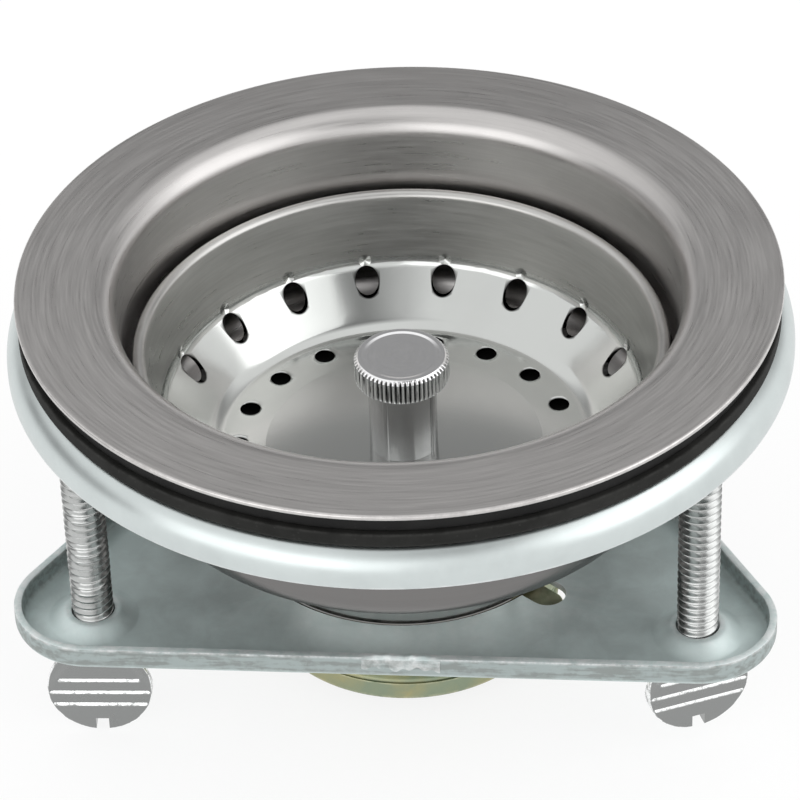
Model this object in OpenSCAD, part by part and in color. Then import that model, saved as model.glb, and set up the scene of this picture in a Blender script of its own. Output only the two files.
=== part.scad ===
// Kitchen sink basket strainer with a three-screw mounting plate.
// Millimetres. The origin is the centre of the flange's top face, with +Z up.

/* [Flange and bowl] */
// Width of the flange that lies on the sink, which makes it 114.3 mm (4-1/2 in) across
flange_w = 14.85; // [13.8:0.05:16]
// Sheet thickness of the drawn bowl
bowl_sheet = 0.8; // [0.6:0.05:1.1]
// Inside diameter of the bowl just below its mouth
mouth_d = 84.6; // [83.6:0.1:85.6]
// Radius of the roll from the flange into the bowl
mouth_roll_r = 4; // [3:0.1:5]
// How much narrower the bowl is at its bottom corner than at its mouth, on the radius
bowl_taper = 1.2; // [0.8:0.1:1.6]
// Inside radius of the bowl's bottom corner
bowl_corner_r = 4.2; // [3.4:0.1:5]
// Depth of the bowl's straight side, from the flange to the bottom corner
bowl_side_depth = 28; // [27:0.1:29]
// Depth from the flange at which the bottom cone turns down into the neck
neck_entry_depth = 39.3; // [38.6:0.1:40]
// Outer diameter of the neck
neck_d = 52; // [51:0.1:53]
// Outside radius of the bend from the bottom cone into the neck
neck_entry_r = 1.5; // [1:0.1:2]
// Inside radius of the bend from the neck to its clamping lip
neck_lip_r = 0.5; // [0.4:0.1:0.7]

/* [Seals] */
// Thickness of the rubber gasket under the flange
rim_gasket_t = 2.6; // [2:0.1:3.2]
// How far the rubber gasket stays inside the flange's edge
rim_gasket_inset = 1; // [0.5:0.1:2]
// Thickness of the friction washer above the ring
friction_washer_t = 2.2; // [1.2:0.1:3]
// How far the friction washer stays inside the flange's edge
friction_washer_inset = 0.2; // [0:0.1:1]
// Radial play of both washers round the bowl
washer_play = 0.35; // [0.3:0.05:0.8]
// Thickness of the seal between the neck and the outlet
outlet_seal_t = 0.7; // [0.5:0.05:0.9]
// How far the neck ends below the plate
neck_end_drop = 0.1; // [0.05:0.05:0.3]

/* [Retaining ring] */
// How far the ring reaches past the flange
ring_overhang = 1.85; // [1.2:0.05:2.4]
// Overall height of the ring
ring_h = 6; // [5.6:0.1:7]
// Sheet thickness of the ring
ring_sheet = 1.2; // [1:0.05:1.4]
// Outside radius of the ring's rounded shoulder
ring_shoulder_r = 4.8; // [4:0.1:5.4]
// Outside radius of the ring's inner edge
ring_inner_edge_r = 2; // [1.6:0.1:2.4]
// Height of the ring's inner wall
ring_inner_h = 4.4; // [3.6:0.1:5.2]
// Radial play of the ring round the bowl
ring_play = 1; // [0.5:0.1:1.6]

/* [Mounting plate] */
// Depth from the flange to the plate's floor
plate_depth = 45.6; // [45.2:0.1:46]
// Sheet thickness of the plate
plate_sheet = 1.2; // [1:0.05:1.4]
// Height of the turned-up lip above the plate's floor
lip_h = 3.4; // [2.8:0.1:4]
// Outside radius of the bend at the foot of the lip
lip_bend_r = 2.4; // [1.8:0.1:3]
// Distance of the screws from the ring's outer edge
screw_inset = 6.5; // [6:0.1:7]
// Outside radius of the plate's corners, about the screws
corner_r = 11.8; // [11:0.1:12.6]
// Play between the neck and the plate's centre hole
plate_play = 0.5; // [0.4:0.05:0.7]
// Width of the notches that let the lugs through
notch_w = 5.6; // [5.2:0.1:6.4]
// Play of a lug in its notch
notch_play = 0.4; // [0.3:0.05:0.8]
// Direction of the first notch, from +X
notch_angle = -38.6; // [-44:0.1:-34]
// Height of the raised boss round each screw, above the plate's floor
boss_h = 1.6; // [1.2:0.1:2]
// Diameter of the boss at its foot
boss_d = 14; // [12.8:0.1:15.2]
// Wall of the tapped collar inside the boss
collar_wall = 1.3; // [1:0.1:1.6]
// Width of the sheared tab left on the front lip
tab_w = 11.7; // [8:0.1:14]
// How far the sheared tab stands above the lip
tab_h = 0.35; // [0.2:0.05:0.6]
// Thickness of the sheared tab
tab_t = 0.8; // [0.5:0.05:1]
// Offset of the sheared tab from the middle of the front lip
tab_offset = 1.9; // [-6:0.1:6]

/* [Thumb screws] */
// Outer diameter of the screw thread
screw_d = 6.3; // [6:0.05:6.4]
// Radial play of the screw in its hole
screw_play = 0.05; // [0.02:0.01:0.1]
// Chamfer at the screw's end, clear of the ring's rounded shoulders
screw_point = 1.4; // [1.2:0.1:1.8]
// Diameter of the flat round head
head_d = 16; // [15:0.1:17]
// Thickness of the head
head_t = 2.2; // [1.8:0.1:2.8]
// Distance from the plate's underside to the middle of the left head
left_head_drop = 12.7; // [11:0.1:13]
// Distance from the plate's underside to the middle of the right head
right_head_drop = 8.6; // [8.4:0.1:13]
// Distance from the plate's underside to the middle of the rear head
rear_head_drop = 11.1; // [10:0.1:13]
// Width of the slot in the bottom of the head
slot_w = 2; // [1.6:0.1:2.4]
// Depth of the slot in the bottom of the head
slot_depth = 2.2; // [1.6:0.1:2.8]
// Spacing of the pressed grip grooves on the head
groove_pitch = 2.4; // [2:0.1:2.6]
// Height of the highest grip groove's top edge above the middle of the head
groove_top = 2.2; // [1.6:0.1:2.6]
// Width of a grip groove
groove_w = 0.75; // [0.6:0.05:1.2]
// Depth of a grip groove
groove_depth = 0.4; // [0.2:0.05:0.5]
// Height of the wedge from the screw's shank to its flat head
shoulder_h = 3.6; // [2.8:0.1:4.4]
// Turn of the left head about its own axis
left_head_angle = 2.2; // [-90:0.1:90]
// Turn of the right head about its own axis
right_head_angle = 23.3; // [-90:0.1:90]
// Turn of the rear head about its own axis
rear_head_angle = 76; // [-90:0.1:90]

/* [Outlet] */
// Outer diameter of the outlet's pipe thread
outlet_thread_d = 47.5; // [46.5:0.1:48]
// Diameter of the outlet's bore
outlet_bore_d = 39.6; // [39:0.1:40.2]
// Depth from the flange to the outlet's end
outlet_depth = 64; // [62.4:0.1:64.4]
// Thickness of the collar that carries the lugs
outlet_collar_t = 2.6; // [2.2:0.1:3]
// Reach of the lugs, from the axis
lug_reach = 31.4; // [30.8:0.1:31.8]
// Gap between the lugs and the plate's underside
lug_gap = 0.3; // [0.2:0.05:0.5]
// Size of the chamfer at the outlet's end
outlet_chamfer = 0.9; // [0.5:0.1:1.2]
// Depth of the thread's runout groove
runout_depth = 1.1; // [0.8:0.1:1.4]
// Thickness of the rim that is rolled over the neck's lip
rolled_rim_t = 1.2; // [1:0.05:1.4]
// Wall of the outlet's tube where it passes the neck's lip
tube_wall = 1.3; // [1.1:0.05:1.5]
// Radial play of the outlet's tube in the neck's lip
tube_play = 0.05; // [0.02:0.01:0.1]
// Radial gap between the rolled rim and the neck
rolled_rim_play = 0.4; // [0.3:0.05:0.6]
// Thickness of the crossbar
crossbar_t = 1.2; // [1:0.05:1.4]
// Width of a crossbar arm
crossbar_arm_w = 4; // [3.2:0.1:5]
// Radial play of the crossbar in the rolled rim
crossbar_play = 0.1; // [0.05:0.01:0.2]

/* [Basket] */
// Radial gap between the bowl's mouth and the basket's rim
basket_gap = 1.8; // [1.5:0.1:2.2]
// Height of the basket cup, from its floor to its rim
basket_h = 19.4; // [18.8:0.1:20]
// Sheet thickness of the basket cup
basket_sheet = 0.6; // [0.5:0.05:0.7]
// Width of the basket's rolled rim
rim_w = 2.1; // [1.9:0.1:2.4]
// Height of the basket's rolled rim
rim_h = 2.2; // [1.9:0.1:2.6]
// Inward lean of the basket's upper wall, on the radius
wall_lean = 1.6; // [1.2:0.1:2]
// Height of the bend in the wall, above the basket's floor
wall_bend_h = 7.4; // [7:0.1:7.8]
// Inside radius of the bend in the wall
wall_bend_r = 3; // [2.4:0.1:3.6]
// Radius of the basket's flat floor
floor_r = 27.6; // [26.8:0.1:28.4]
// Inside radius of the cove between the floor and the wall
cove_r = 4; // [3.4:0.1:4.6]
// Number of holes in the wall, and in the floor
hole_count = 18; // [12:1:20]
// Diameter of the holes in the wall
wall_hole_d = 3.8; // [3.4:0.1:4.2]
// Height of the wall holes above the floor
wall_hole_h = 5.5; // [5:0.1:6]
// Diameter of the holes in the floor
floor_hole_d = 3.1; // [2.6:0.1:3.6]
// Radius of the circle of floor holes
floor_hole_ring_r = 25.4; // [24.4:0.1:25.6]
// Direction of the first hole, from +X
hole_angle = 3.6; // [0:0.1:20]

/* [Knob and post] */
// Diameter of the knob over its knurl
knob_d = 14.4; // [13:0.1:15]
// Height of the knob
knob_h = 3.3; // [2.8:0.1:4]
// Height of the knob's top face above the basket's floor
knob_top_h = 16.4; // [15.6:0.1:17]
// Number of knurl teeth
knurl_count = 54; // [40:1:60]
// Depth of the knurl
knurl_depth = 0.35; // [0.2:0.05:0.45]
// Width of the knob's bevel
knob_bevel = 0.6; // [0.4:0.05:0.8]
// Diameter of the post
post_d = 10.4; // [9.6:0.1:11]
// Width of the post's ribs
post_rib_w = 0.8; // [0.6:0.1:1.2]
// How far the post's ribs stand out
post_rib_h = 0.3; // [0.2:0.05:0.4]
// Direction of the first post rib, from +X
post_rib_angle = 34.5; // [0:0.1:90]
// Diameter of the stem
stem_d = 4.8; // [4.4:0.1:5.2]
// Radial play of the stem in the pieces that it holds
stem_play = 0.05; // [0.02:0.01:0.1]
// How far the stem reaches into the knob
stem_in_knob = 2.2; // [1.6:0.1:2.4]

/* [Stopper] */
// Diameter of the rubber stopper
stopper_d = 60; // [58:0.1:62]
// Thickness of the stopper at its edge
stopper_edge_t = 2; // [1.6:0.1:2.4]
// Width of the stopper's sealing cone
stopper_cone_w = 3; // [2.4:0.1:3.6]
// Gap between the stopper and its seat
stopper_gap = 0.3; // [0.25:0.01:0.4]
// Height of the stopper's hub above its disc
stopper_hub_h = 0.8; // [0.5:0.05:1.2]
// Diameter of the stopper's hub
stopper_hub_d = 18; // [16:0.1:20]
// Thickness of the washer between the basket and the stopper
cap_washer_t = 0.8; // [0.6:0.05:1]
// Diameter of the washer under the stopper
backing_washer_d = 38; // [34:0.1:44]
// Thickness of the washer under the stopper
backing_washer_t = 1; // [0.8:0.05:1.3]
// Width of the nut across its flats
nut_af = 11; // [10:0.1:12]
// Thickness of the nut
nut_t = 3; // [2.4:0.1:3.2]
// Thickness of the catch ring's cord
catch_cord_d = 1.6; // [1.4:0.05:1.7]
// How far the catch ring stands out of the stem
catch_stand = 0.55; // [0.4:0.05:0.6]
// Radial play of the catch ring in the crossbar's hole
catch_play = 0.05; // [0.02:0.01:0.1]
// Distance from the crossbar to the middle of the catch ring below it
catch_drop = 1.3; // [1.1:0.1:1.6]
// Length of the stem's tip below the catch ring
stem_tip_l = 1.6; // [1.4:0.1:1.8]

/* [Hidden] */
$fn = 96;
ARC_STEPS = 8;
OVERCUT = 1;

mouth_r = mouth_d / 2;
flange_r = mouth_r + flange_w;
neck_r = neck_d / 2;
neck_inner_r = neck_r - bowl_sheet;
plate_bottom_z = -plate_depth - plate_sheet;

// A skin is a chain of arcs, each [centre x, centre z, signed radius, first angle, last angle].
// Its angles are those of the sheet's outward normal, and a negative radius bends the other way.
function polar(r, a) = [r * cos(a), r * sin(a)];
function arc(c, r, a1, a2) = [for (i = [0:ARC_STEPS]) c + polar(r, a1 + (a2 - a1) * i / ARC_STEPS)];
function chain(arcs, t) = [for (b = arcs) each arc([b[0], b[1]], b[2] + t, b[3], b[4])];
function reversed(points) = [for (i = [len(points) - 1:-1:0]) points[i]];
// Direction of the outward normal on the straight wall that touches two arcs
function wall_normal(a, b) =
    atan2(b[1] - a[1], b[0] - a[0]) + acos((a[2] - b[2]) / norm([b[0] - a[0], b[1] - a[1]]));

// Bowl: the wetted skin runs from the flange over the mouth roll, corner and neck entry to the lip
mouth_bend = [mouth_r + mouth_roll_r, -mouth_roll_r, -mouth_roll_r];
corner_bend = [mouth_r - bowl_taper - bowl_corner_r, -bowl_side_depth, bowl_corner_r];
neck_bend = [neck_r + neck_entry_r, -neck_entry_depth, -neck_entry_r - bowl_sheet];
lip_bottom_z = plate_bottom_z - neck_end_drop;
lip_bend = [neck_inner_r - neck_lip_r, lip_bottom_z + bowl_sheet + neck_lip_r, neck_lip_r];
side_normal = wall_normal(mouth_bend, corner_bend);
cone_normal = wall_normal(corner_bend, neck_bend);
bowl_arcs = [
    concat(mouth_bend, [-90, side_normal]),
    concat(corner_bend, [side_normal, cone_normal]),
    concat(neck_bend, [cone_normal, 0]),
    concat(lip_bend, [0, -90])
];
bowl_outer_r = mouth_r + bowl_sheet;

// Seals and ring, stacked below the flange
rim_gasket_z = -bowl_sheet;
friction_washer_z = rim_gasket_z - rim_gasket_t;
ring_top_z = friction_washer_z - friction_washer_t;
washer_inner_r = bowl_outer_r + washer_play;
ring_r = flange_r + ring_overhang;
ring_inner_r = bowl_outer_r + ring_play;

// Plate
screw_circle_r = ring_r - screw_inset;
plate_hole_r = neck_r + plate_play;
screw_hole_r = screw_d / 2 + screw_play;
SCREW_ANGLES = [210, 330, 90];
NOTCH_COUNT = 3;

// Outlet: its tube passes the neck's lip, and its rim is rolled over it
outlet_thread_r = outlet_thread_d / 2;
outlet_bore_r = outlet_bore_d / 2;
tube_r = outlet_bore_r + tube_wall;
lip_hole_r = tube_r + tube_play;
lug_top_z = plate_bottom_z - lug_gap;
collar_top_z = lip_bottom_z - outlet_seal_t;
collar_bottom_z = collar_top_z - outlet_collar_t;
rolled_rim_z = lip_bottom_z + bowl_sheet;
crossbar_z = rolled_rim_z + rolled_rim_t;
rolled_rim_r = neck_inner_r - rolled_rim_play;
crossbar_r = rolled_rim_r - tube_wall - crossbar_play;
lug_w = notch_w - 2 * notch_play;

// Stopper: its cone lies on the bowl's bottom cone, and the basket stands on the stopper
stopper_r = stopper_d / 2;
seat_slope = 90 + cone_normal;
seat_point = [corner_bend[0], corner_bend[1]] + polar(bowl_corner_r, cone_normal);
function seat_z(r) = seat_point[1] + (r - seat_point[0]) * tan(seat_slope);
stopper_edge_z = seat_z(stopper_r) + stopper_gap / cos(seat_slope);
stopper_top_z = stopper_edge_z + stopper_edge_t;
stopper_flat_r = stopper_r - stopper_cone_w;
stopper_bottom_z = seat_z(stopper_flat_r) + stopper_gap / cos(seat_slope);
cap_washer_z = stopper_top_z + stopper_hub_h;
cup_bottom_z = cap_washer_z + cap_washer_t;
backing_washer_z = stopper_bottom_z - backing_washer_t;
nut_z = backing_washer_z - nut_t;

// Basket
floor_z = cup_bottom_z + basket_sheet;
rim_top_z = floor_z + basket_h;
rim_r = mouth_r - basket_gap;
cup_mouth_r = rim_r - rim_w;
cove_bend = [floor_r, floor_z + cove_r, cove_r];
wall_bend = [cup_mouth_r - wall_lean - wall_bend_r, floor_z + wall_bend_h + wall_bend_r / 2, wall_bend_r];
rim_bend = [cup_mouth_r, rim_top_z, 0];
upper_normal = wall_normal(rim_bend, wall_bend);
lower_normal = wall_normal(wall_bend, cove_bend);
cup_arcs = [
    concat(wall_bend, [upper_normal, lower_normal]),
    concat(cove_bend, [lower_normal, -90])
];

// Knob, post and stem
knob_r = knob_d / 2;
knob_top_z = floor_z + knob_top_h;
knob_z = knob_top_z - knob_h;
post_r = post_d / 2;
stem_r = stem_d / 2;
stem_hole_r = stem_r + stem_play;
stem_top_z = knob_z + stem_in_knob;
catch_z = crossbar_z - catch_drop;
catch_r = stem_r + catch_stand;
crossbar_hole_r = catch_r + catch_play;
stem_tip_z = catch_z - catch_cord_d / 2 - stem_tip_l;

// A flat ring from z upwards
module flat_ring(z, t, inner_r, outer_r) {
    translate([0, 0, z])
        difference() {
            cylinder(h = t, r = outer_r);
            translate([0, 0, -OVERCUT])
                cylinder(h = t + 2 * OVERCUT, r = inner_r);
        }
}

// Flange, bowl and neck, drawn from one sheet, with the neck's lip turned in below
module strainer_body() {
    color("#8f8c88")
        rotate_extrude()
            polygon(concat(
                [[flange_r, 0]],
                chain(bowl_arcs, 0),
                [[lip_hole_r, rolled_rim_z], [lip_hole_r, lip_bottom_z]],
                reversed(chain(bowl_arcs, bowl_sheet)),
                [[flange_r, -bowl_sheet]]
            ));
}

module rim_gasket() {
    color("#1c1b1a")
        flat_ring(friction_washer_z, rim_gasket_t, mouth_bend[0] + washer_play, flange_r - rim_gasket_inset);
}

module friction_washer() {
    color("#2f2e2c")
        flat_ring(ring_top_z, friction_washer_t, washer_inner_r, flange_r - friction_washer_inset);
}

// Threaded end, collar and tube of the outlet, with the rim rolled over the neck's lip
module outlet_turning() {
    runout_r = outlet_thread_r - runout_depth;
    rotate_extrude()
        polygon([
            [outlet_bore_r, -outlet_depth],
            [outlet_thread_r - outlet_chamfer, -outlet_depth],
            [outlet_thread_r, -outlet_depth + outlet_chamfer],
            [outlet_thread_r, collar_bottom_z - 2 * runout_depth],
            [runout_r, collar_bottom_z - runout_depth],
            [runout_r, collar_bottom_z],
            [neck_r, collar_bottom_z],
            [neck_r, collar_top_z],
            [tube_r, collar_top_z],
            [tube_r, rolled_rim_z],
            [rolled_rim_r, rolled_rim_z],
            [rolled_rim_r, crossbar_z + crossbar_t],
            [crossbar_r + crossbar_play, crossbar_z + crossbar_t],
            [crossbar_r + crossbar_play, crossbar_z],
            [outlet_bore_r, crossbar_z]
        ]);
}

// One lug with a rounded end, pointing along +X
module lug() {
    end_r = lug_w / 2;
    root_r = neck_r - end_r;
    translate([0, 0, collar_bottom_z]) {
        translate([root_r, -end_r, 0])
            cube([lug_reach - end_r - root_r, lug_w, lug_top_z - collar_bottom_z]);
        translate([lug_reach - end_r, 0, 0])
            cylinder(h = lug_top_z - collar_bottom_z, r = end_r);
    }
}

module outlet_nipple() {
    color("#8f8a4a")
        difference() {
            union() {
                outlet_turning();
                for (i = [0:NOTCH_COUNT - 1])
                    rotate(notch_angle + i * 360 / NOTCH_COUNT)
                        lug();
            }
            translate([0, 0, collar_top_z])
                difference() {
                    cylinder(h = rolled_rim_z - collar_top_z, r = neck_r + plate_play / 2);
                    translate([0, 0, -OVERCUT])
                        cylinder(h = rolled_rim_z - collar_top_z + 2 * OVERCUT, r = tube_r);
                }
        }
}

module outlet_seal() {
    color("#242322")
        flat_ring(collar_top_z, outlet_seal_t, lip_hole_r, neck_inner_r);
}

// Spoked disc in the outlet that centres and holds the stem
module crossbar() {
    hub_r = crossbar_hole_r + crossbar_arm_w / 2;
    color("#9a9894")
        translate([0, 0, crossbar_z])
            linear_extrude(crossbar_t)
                difference() {
                    union() {
                        difference() {
                            circle(crossbar_r);
                            circle(outlet_bore_r - crossbar_play);
                        }
                        circle(hub_r);
                        for (a = [0, 90])
                            rotate(a)
                                square([2 * outlet_bore_r, crossbar_arm_w], center = true);
                    }
                    circle(crossbar_hole_r);
                }
}

// Channel-shaped ring that the screws push up under the sink
module retaining_ring() {
    inner_bend = [ring_inner_r + ring_inner_edge_r, ring_top_z - ring_inner_edge_r];
    shoulder = [ring_r - ring_shoulder_r, ring_top_z - ring_shoulder_r];
    color("#a9b4b1")
        rotate_extrude()
            polygon(concat(
                [[ring_inner_r, ring_top_z - ring_inner_h]],
                arc(inner_bend, ring_inner_edge_r, 180, 90),
                arc(shoulder, ring_shoulder_r, 90, 0),
                [[ring_r, ring_top_z - ring_h], [ring_r - ring_sheet, ring_top_z - ring_h]],
                arc(shoulder, ring_shoulder_r - ring_sheet, 0, 90),
                arc(inner_bend, ring_inner_edge_r - ring_sheet, 90, 180),
                [[ring_inner_r + ring_sheet, ring_top_z - ring_inner_h]]
            ));
}

// Three-cornered block with a rounded foot, for the tray's outside and for its hollow
module tray_block(r, foot_r, h) {
    hull()
        for (a = SCREW_ANGLES)
            rotate(a)
                translate([screw_circle_r, 0, 0])
                    rotate_extrude($fn = 48)
                        polygon(concat(
                            [[0, 0]],
                            arc([r - foot_r, foot_r], foot_r, -90, 0),
                            [[r, h], [0, h]]
                        ));
}

// Tray of the plate: a floor with a lip turned up all round
module plate_tray() {
    difference() {
        tray_block(corner_r, lip_bend_r, plate_sheet + lip_h);
        translate([0, 0, plate_sheet])
            tray_block(corner_r - plate_sheet, lip_bend_r - plate_sheet, lip_h + OVERCUT);
    }
}

// Raised cone round one screw hole
module plate_boss() {
    foot_r = boss_d / 2;
    top_r = screw_hole_r + collar_wall;
    rotate_extrude()
        polygon([
            [0, plate_sheet / 2],
            [foot_r, plate_sheet / 2],
            [foot_r, plate_sheet],
            [top_r, plate_sheet + boss_h],
            [0, plate_sheet + boss_h]
        ]);
}

// Hollow below the boss, round its tapped collar, and the hole for the screw
module plate_boss_cut() {
    foot_r = boss_d / 2;
    top_r = screw_hole_r + collar_wall;
    rotate_extrude()
        polygon([
            [top_r, -OVERCUT],
            [foot_r, -OVERCUT],
            [foot_r, 0],
            [top_r, boss_h]
        ]);
    translate([0, 0, -OVERCUT])
        cylinder(h = plate_sheet + boss_h + 2 * OVERCUT, r = screw_hole_r);
}

// Centre hole with the three notches that pass over the outlet's lugs
module plate_opening() {
    notch_reach = lug_reach + notch_play;
    translate([0, 0, -OVERCUT])
        linear_extrude(plate_sheet + 2 * OVERCUT) {
            circle(plate_hole_r);
            for (i = [0:NOTCH_COUNT - 1])
                rotate(notch_angle + i * 360 / NOTCH_COUNT) {
                    translate([0, -notch_w / 2])
                        square([notch_reach - notch_w / 2, notch_w]);
                    translate([notch_reach - notch_w / 2, 0])
                        circle(notch_w / 2);
                }
        }
}

module mounting_plate() {
    tab_y = -screw_circle_r / 2 - corner_r + (plate_sheet - tab_t) / 2;
    color("#7d8886")
        translate([0, 0, plate_bottom_z])
            difference() {
                union() {
                    plate_tray();
                    for (a = SCREW_ANGLES)
                        translate(polar(screw_circle_r, a))
                            plate_boss();
                    translate([tab_offset - tab_w / 2, tab_y, plate_sheet + lip_h - tab_t])
                        cube([tab_w, tab_t, tab_t + tab_h]);
                }
                for (a = SCREW_ANGLES)
                    translate(polar(screw_circle_r, a))
                        plate_boss_cut();
                plate_opening();
            }
}

// One grip groove across the face at +Y, steep at its top edge and sloping below
module grip_groove(z) {
    half_l = sqrt(pow(head_d / 2 - groove_w, 2) - z * z);
    translate([-half_l, head_t / 2, z])
        rotate([90, 0, 90])
            linear_extrude(2 * half_l)
                polygon([[-groove_depth, -groove_w / 8], [OVERCUT, -groove_w], [OVERCUT, 0], [0, 0]]);
}

// Flat round head with its slot, grip grooves and the wedge up to the shank
module screw_head() {
    head_r = head_d / 2;
    difference() {
        union() {
            rotate([90, 0, 0])
                cylinder(h = head_t, r = head_r, center = true);
            intersection() {
                cylinder(h = head_r + shoulder_h / 2, r = screw_d / 2);
                rotate([90, 0, 90])
                    linear_extrude(screw_d, center = true)
                        polygon([
                            [-head_t / 2, head_r - shoulder_h],
                            [head_t / 2, head_r - shoulder_h],
                            [screw_d / 2, head_r],
                            [screw_d / 2, head_r + shoulder_h],
                            [-screw_d / 2, head_r + shoulder_h],
                            [-screw_d / 2, head_r]
                        ]);
            }
        }
        translate([-slot_w / 2, -head_t, -head_r - OVERCUT])
            cube([slot_w, 2 * head_t, slot_depth + OVERCUT]);
        for (side = [0, 180], i = [0:2])
            rotate(side)
                grip_groove(groove_top - i * groove_pitch);
    }
}

// A thumb screw at one corner, from its head up to the roof of the ring
module thumb_screw(angle, turn, drop) {
    head_z = plate_bottom_z - drop;
    shank_z = head_z + head_d / 2;
    tip_z = ring_top_z - ring_sheet;
    color("#b9bcbb")
        translate(polar(screw_circle_r, angle))
            rotate(turn) {
                translate([0, 0, head_z])
                    screw_head();
                translate([0, 0, shank_z])
                    cylinder(h = tip_z - screw_point - shank_z, r = screw_d / 2);
                translate([0, 0, tip_z - screw_point])
                    cylinder(h = screw_point, r1 = screw_d / 2, r2 = screw_d / 2 - screw_point);
            }
}

// Slot of the cup's section between its two skins, with the rim rolled outwards
module cup_section() {
    mouth = [cup_mouth_r, rim_top_z];
    roll_r = rim_w / 2;
    outer = reversed(chain(cup_arcs, basket_sheet));
    polygon(concat(
        [[stem_hole_r, floor_z], [stem_hole_r, cup_bottom_z]],
        outer,
        [mouth + [basket_sheet, -rim_h]],
        [[rim_r - roll_r / 2, rim_top_z - rim_h]],
        arc([rim_r - roll_r, rim_top_z - roll_r], roll_r, 0, 90),
        [mouth],
        chain(cup_arcs, 0)
    ));
}

// Perforated basket, drawn from one sheet with its rim rolled outwards
module basket_cup() {
    step = 360 / hole_count;
    color("#b3aea6")
        difference() {
            rotate_extrude()
                cup_section();
            for (i = [0:hole_count - 1])
                rotate(hole_angle + i * step) {
                    translate([floor_hole_ring_r + floor_hole_d, 0, floor_z + wall_hole_h])
                        rotate([0, 90, 0])
                            cylinder(h = rim_r, d = wall_hole_d, $fn = 32);
                    translate([floor_hole_ring_r, 0, cup_bottom_z - OVERCUT])
                        cylinder(h = basket_sheet + 2 * OVERCUT, d = floor_hole_d, $fn = 32);
                }
        }
}

// Hollow post on the basket's floor, with four ribs
module basket_post() {
    h = knob_z - floor_z;
    color("#a7a9aa")
        translate([0, 0, floor_z])
            difference() {
                union() {
                    cylinder(h = h, r = post_r);
                    for (a = [0, 90])
                        rotate(post_rib_angle + a)
                            translate([0, 0, h / 2])
                                cube([2 * (post_r + post_rib_h), post_rib_w, h], center = true);
                }
                translate([0, 0, -OVERCUT])
                    cylinder(h = h + 2 * OVERCUT, r = stem_hole_r);
            }
}

// Knurled knob with a bevelled top
module basket_knob() {
    knurl = [for (i = [0:2 * knurl_count - 1])
        polar(knob_r - (i % 2) * knurl_depth, i * 180 / knurl_count)];
    color("#c9cbcc")
        difference() {
            intersection() {
                translate([0, 0, knob_z])
                    linear_extrude(knob_h)
                        polygon(knurl);
                rotate_extrude()
                    polygon([
                        [0, knob_z - OVERCUT],
                        [knob_r + knob_bevel, knob_z - OVERCUT],
                        [knob_r + knob_bevel, knob_top_z - 2 * knob_bevel],
                        [knob_r - knob_bevel, knob_top_z],
                        [0, knob_top_z]
                    ]);
            }
            translate([0, 0, knob_z - OVERCUT])
                cylinder(h = stem_in_knob + OVERCUT, r = stem_hole_r);
        }
}

// Stem from the knob down through the stopper and the crossbar, with a groove for the catch ring
module basket_stem() {
    groove_r = catch_r - catch_cord_d;
    groove_half = catch_cord_d / 2 + stem_play;
    tip_bevel = stem_r / 3;
    color("#b5a66a")
        rotate_extrude()
            polygon([
                [0, stem_top_z],
                [stem_r, stem_top_z],
                [stem_r, catch_z + groove_half],
                [groove_r, catch_z + groove_half],
                [groove_r, catch_z - groove_half],
                [stem_r, catch_z - groove_half],
                [stem_r, stem_tip_z + tip_bevel],
                [stem_r - tip_bevel, stem_tip_z],
                [0, stem_tip_z]
            ]);
}

module cap_washer() {
    color("#a8a5a0")
        flat_ring(cap_washer_z, cap_washer_t, stem_hole_r, stopper_hub_d / 2);
}

// Rubber stopper with a raised hub and a sealing cone round its edge
module stopper_seal() {
    hub_r = stopper_hub_d / 2;
    color("#1f1e1d")
        rotate_extrude()
            polygon([
                [stem_hole_r, cap_washer_z],
                [hub_r, cap_washer_z],
                [hub_r, stopper_top_z],
                [stopper_r, stopper_top_z],
                [stopper_r, stopper_edge_z],
                [stopper_flat_r, stopper_bottom_z],
                [stem_hole_r, stopper_bottom_z]
            ]);
}

module backing_washer() {
    color("#a8a5a0")
        flat_ring(backing_washer_z, backing_washer_t, stem_hole_r, backing_washer_d / 2);
}

module stem_nut() {
    color("#b5a66a")
        translate([0, 0, nut_z])
            difference() {
                cylinder(h = nut_t, r = nut_af / sqrt(3), $fn = 6);
                translate([0, 0, -OVERCUT])
                    cylinder(h = nut_t + 2 * OVERCUT, r = stem_hole_r);
            }
}

// Rubber ring round the stem that catches below the crossbar
module catch_ring() {
    color("#1f1e1d")
        rotate_extrude()
            translate([catch_r - catch_cord_d / 2, catch_z])
                circle(d = catch_cord_d, $fn = 32);
}

strainer_body();
rim_gasket();
friction_washer();
outlet_nipple();
outlet_seal();
crossbar();
retaining_ring();
mounting_plate();
thumb_screw(SCREW_ANGLES[0], left_head_angle, left_head_drop);  // thumb_screw_left
thumb_screw(SCREW_ANGLES[1], right_head_angle, right_head_drop);  // thumb_screw_right
thumb_screw(SCREW_ANGLES[2], rear_head_angle, rear_head_drop);  // thumb_screw_rear
basket_cup();
basket_post();
basket_knob();
basket_stem();
cap_washer();
stopper_seal();
backing_washer();
stem_nut();
catch_ring();
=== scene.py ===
import logging
import math
from dataclasses import dataclass, field
from enum import Enum
from typing import Any, Callable, Sequence

import bmesh
import bpy
from bpy.types import Material, Mesh, Node, NodeSocket, NodeTree, Object
from mathutils import Matrix, Vector
from mathutils.geometry import delaunay_2d_cdt


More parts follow.
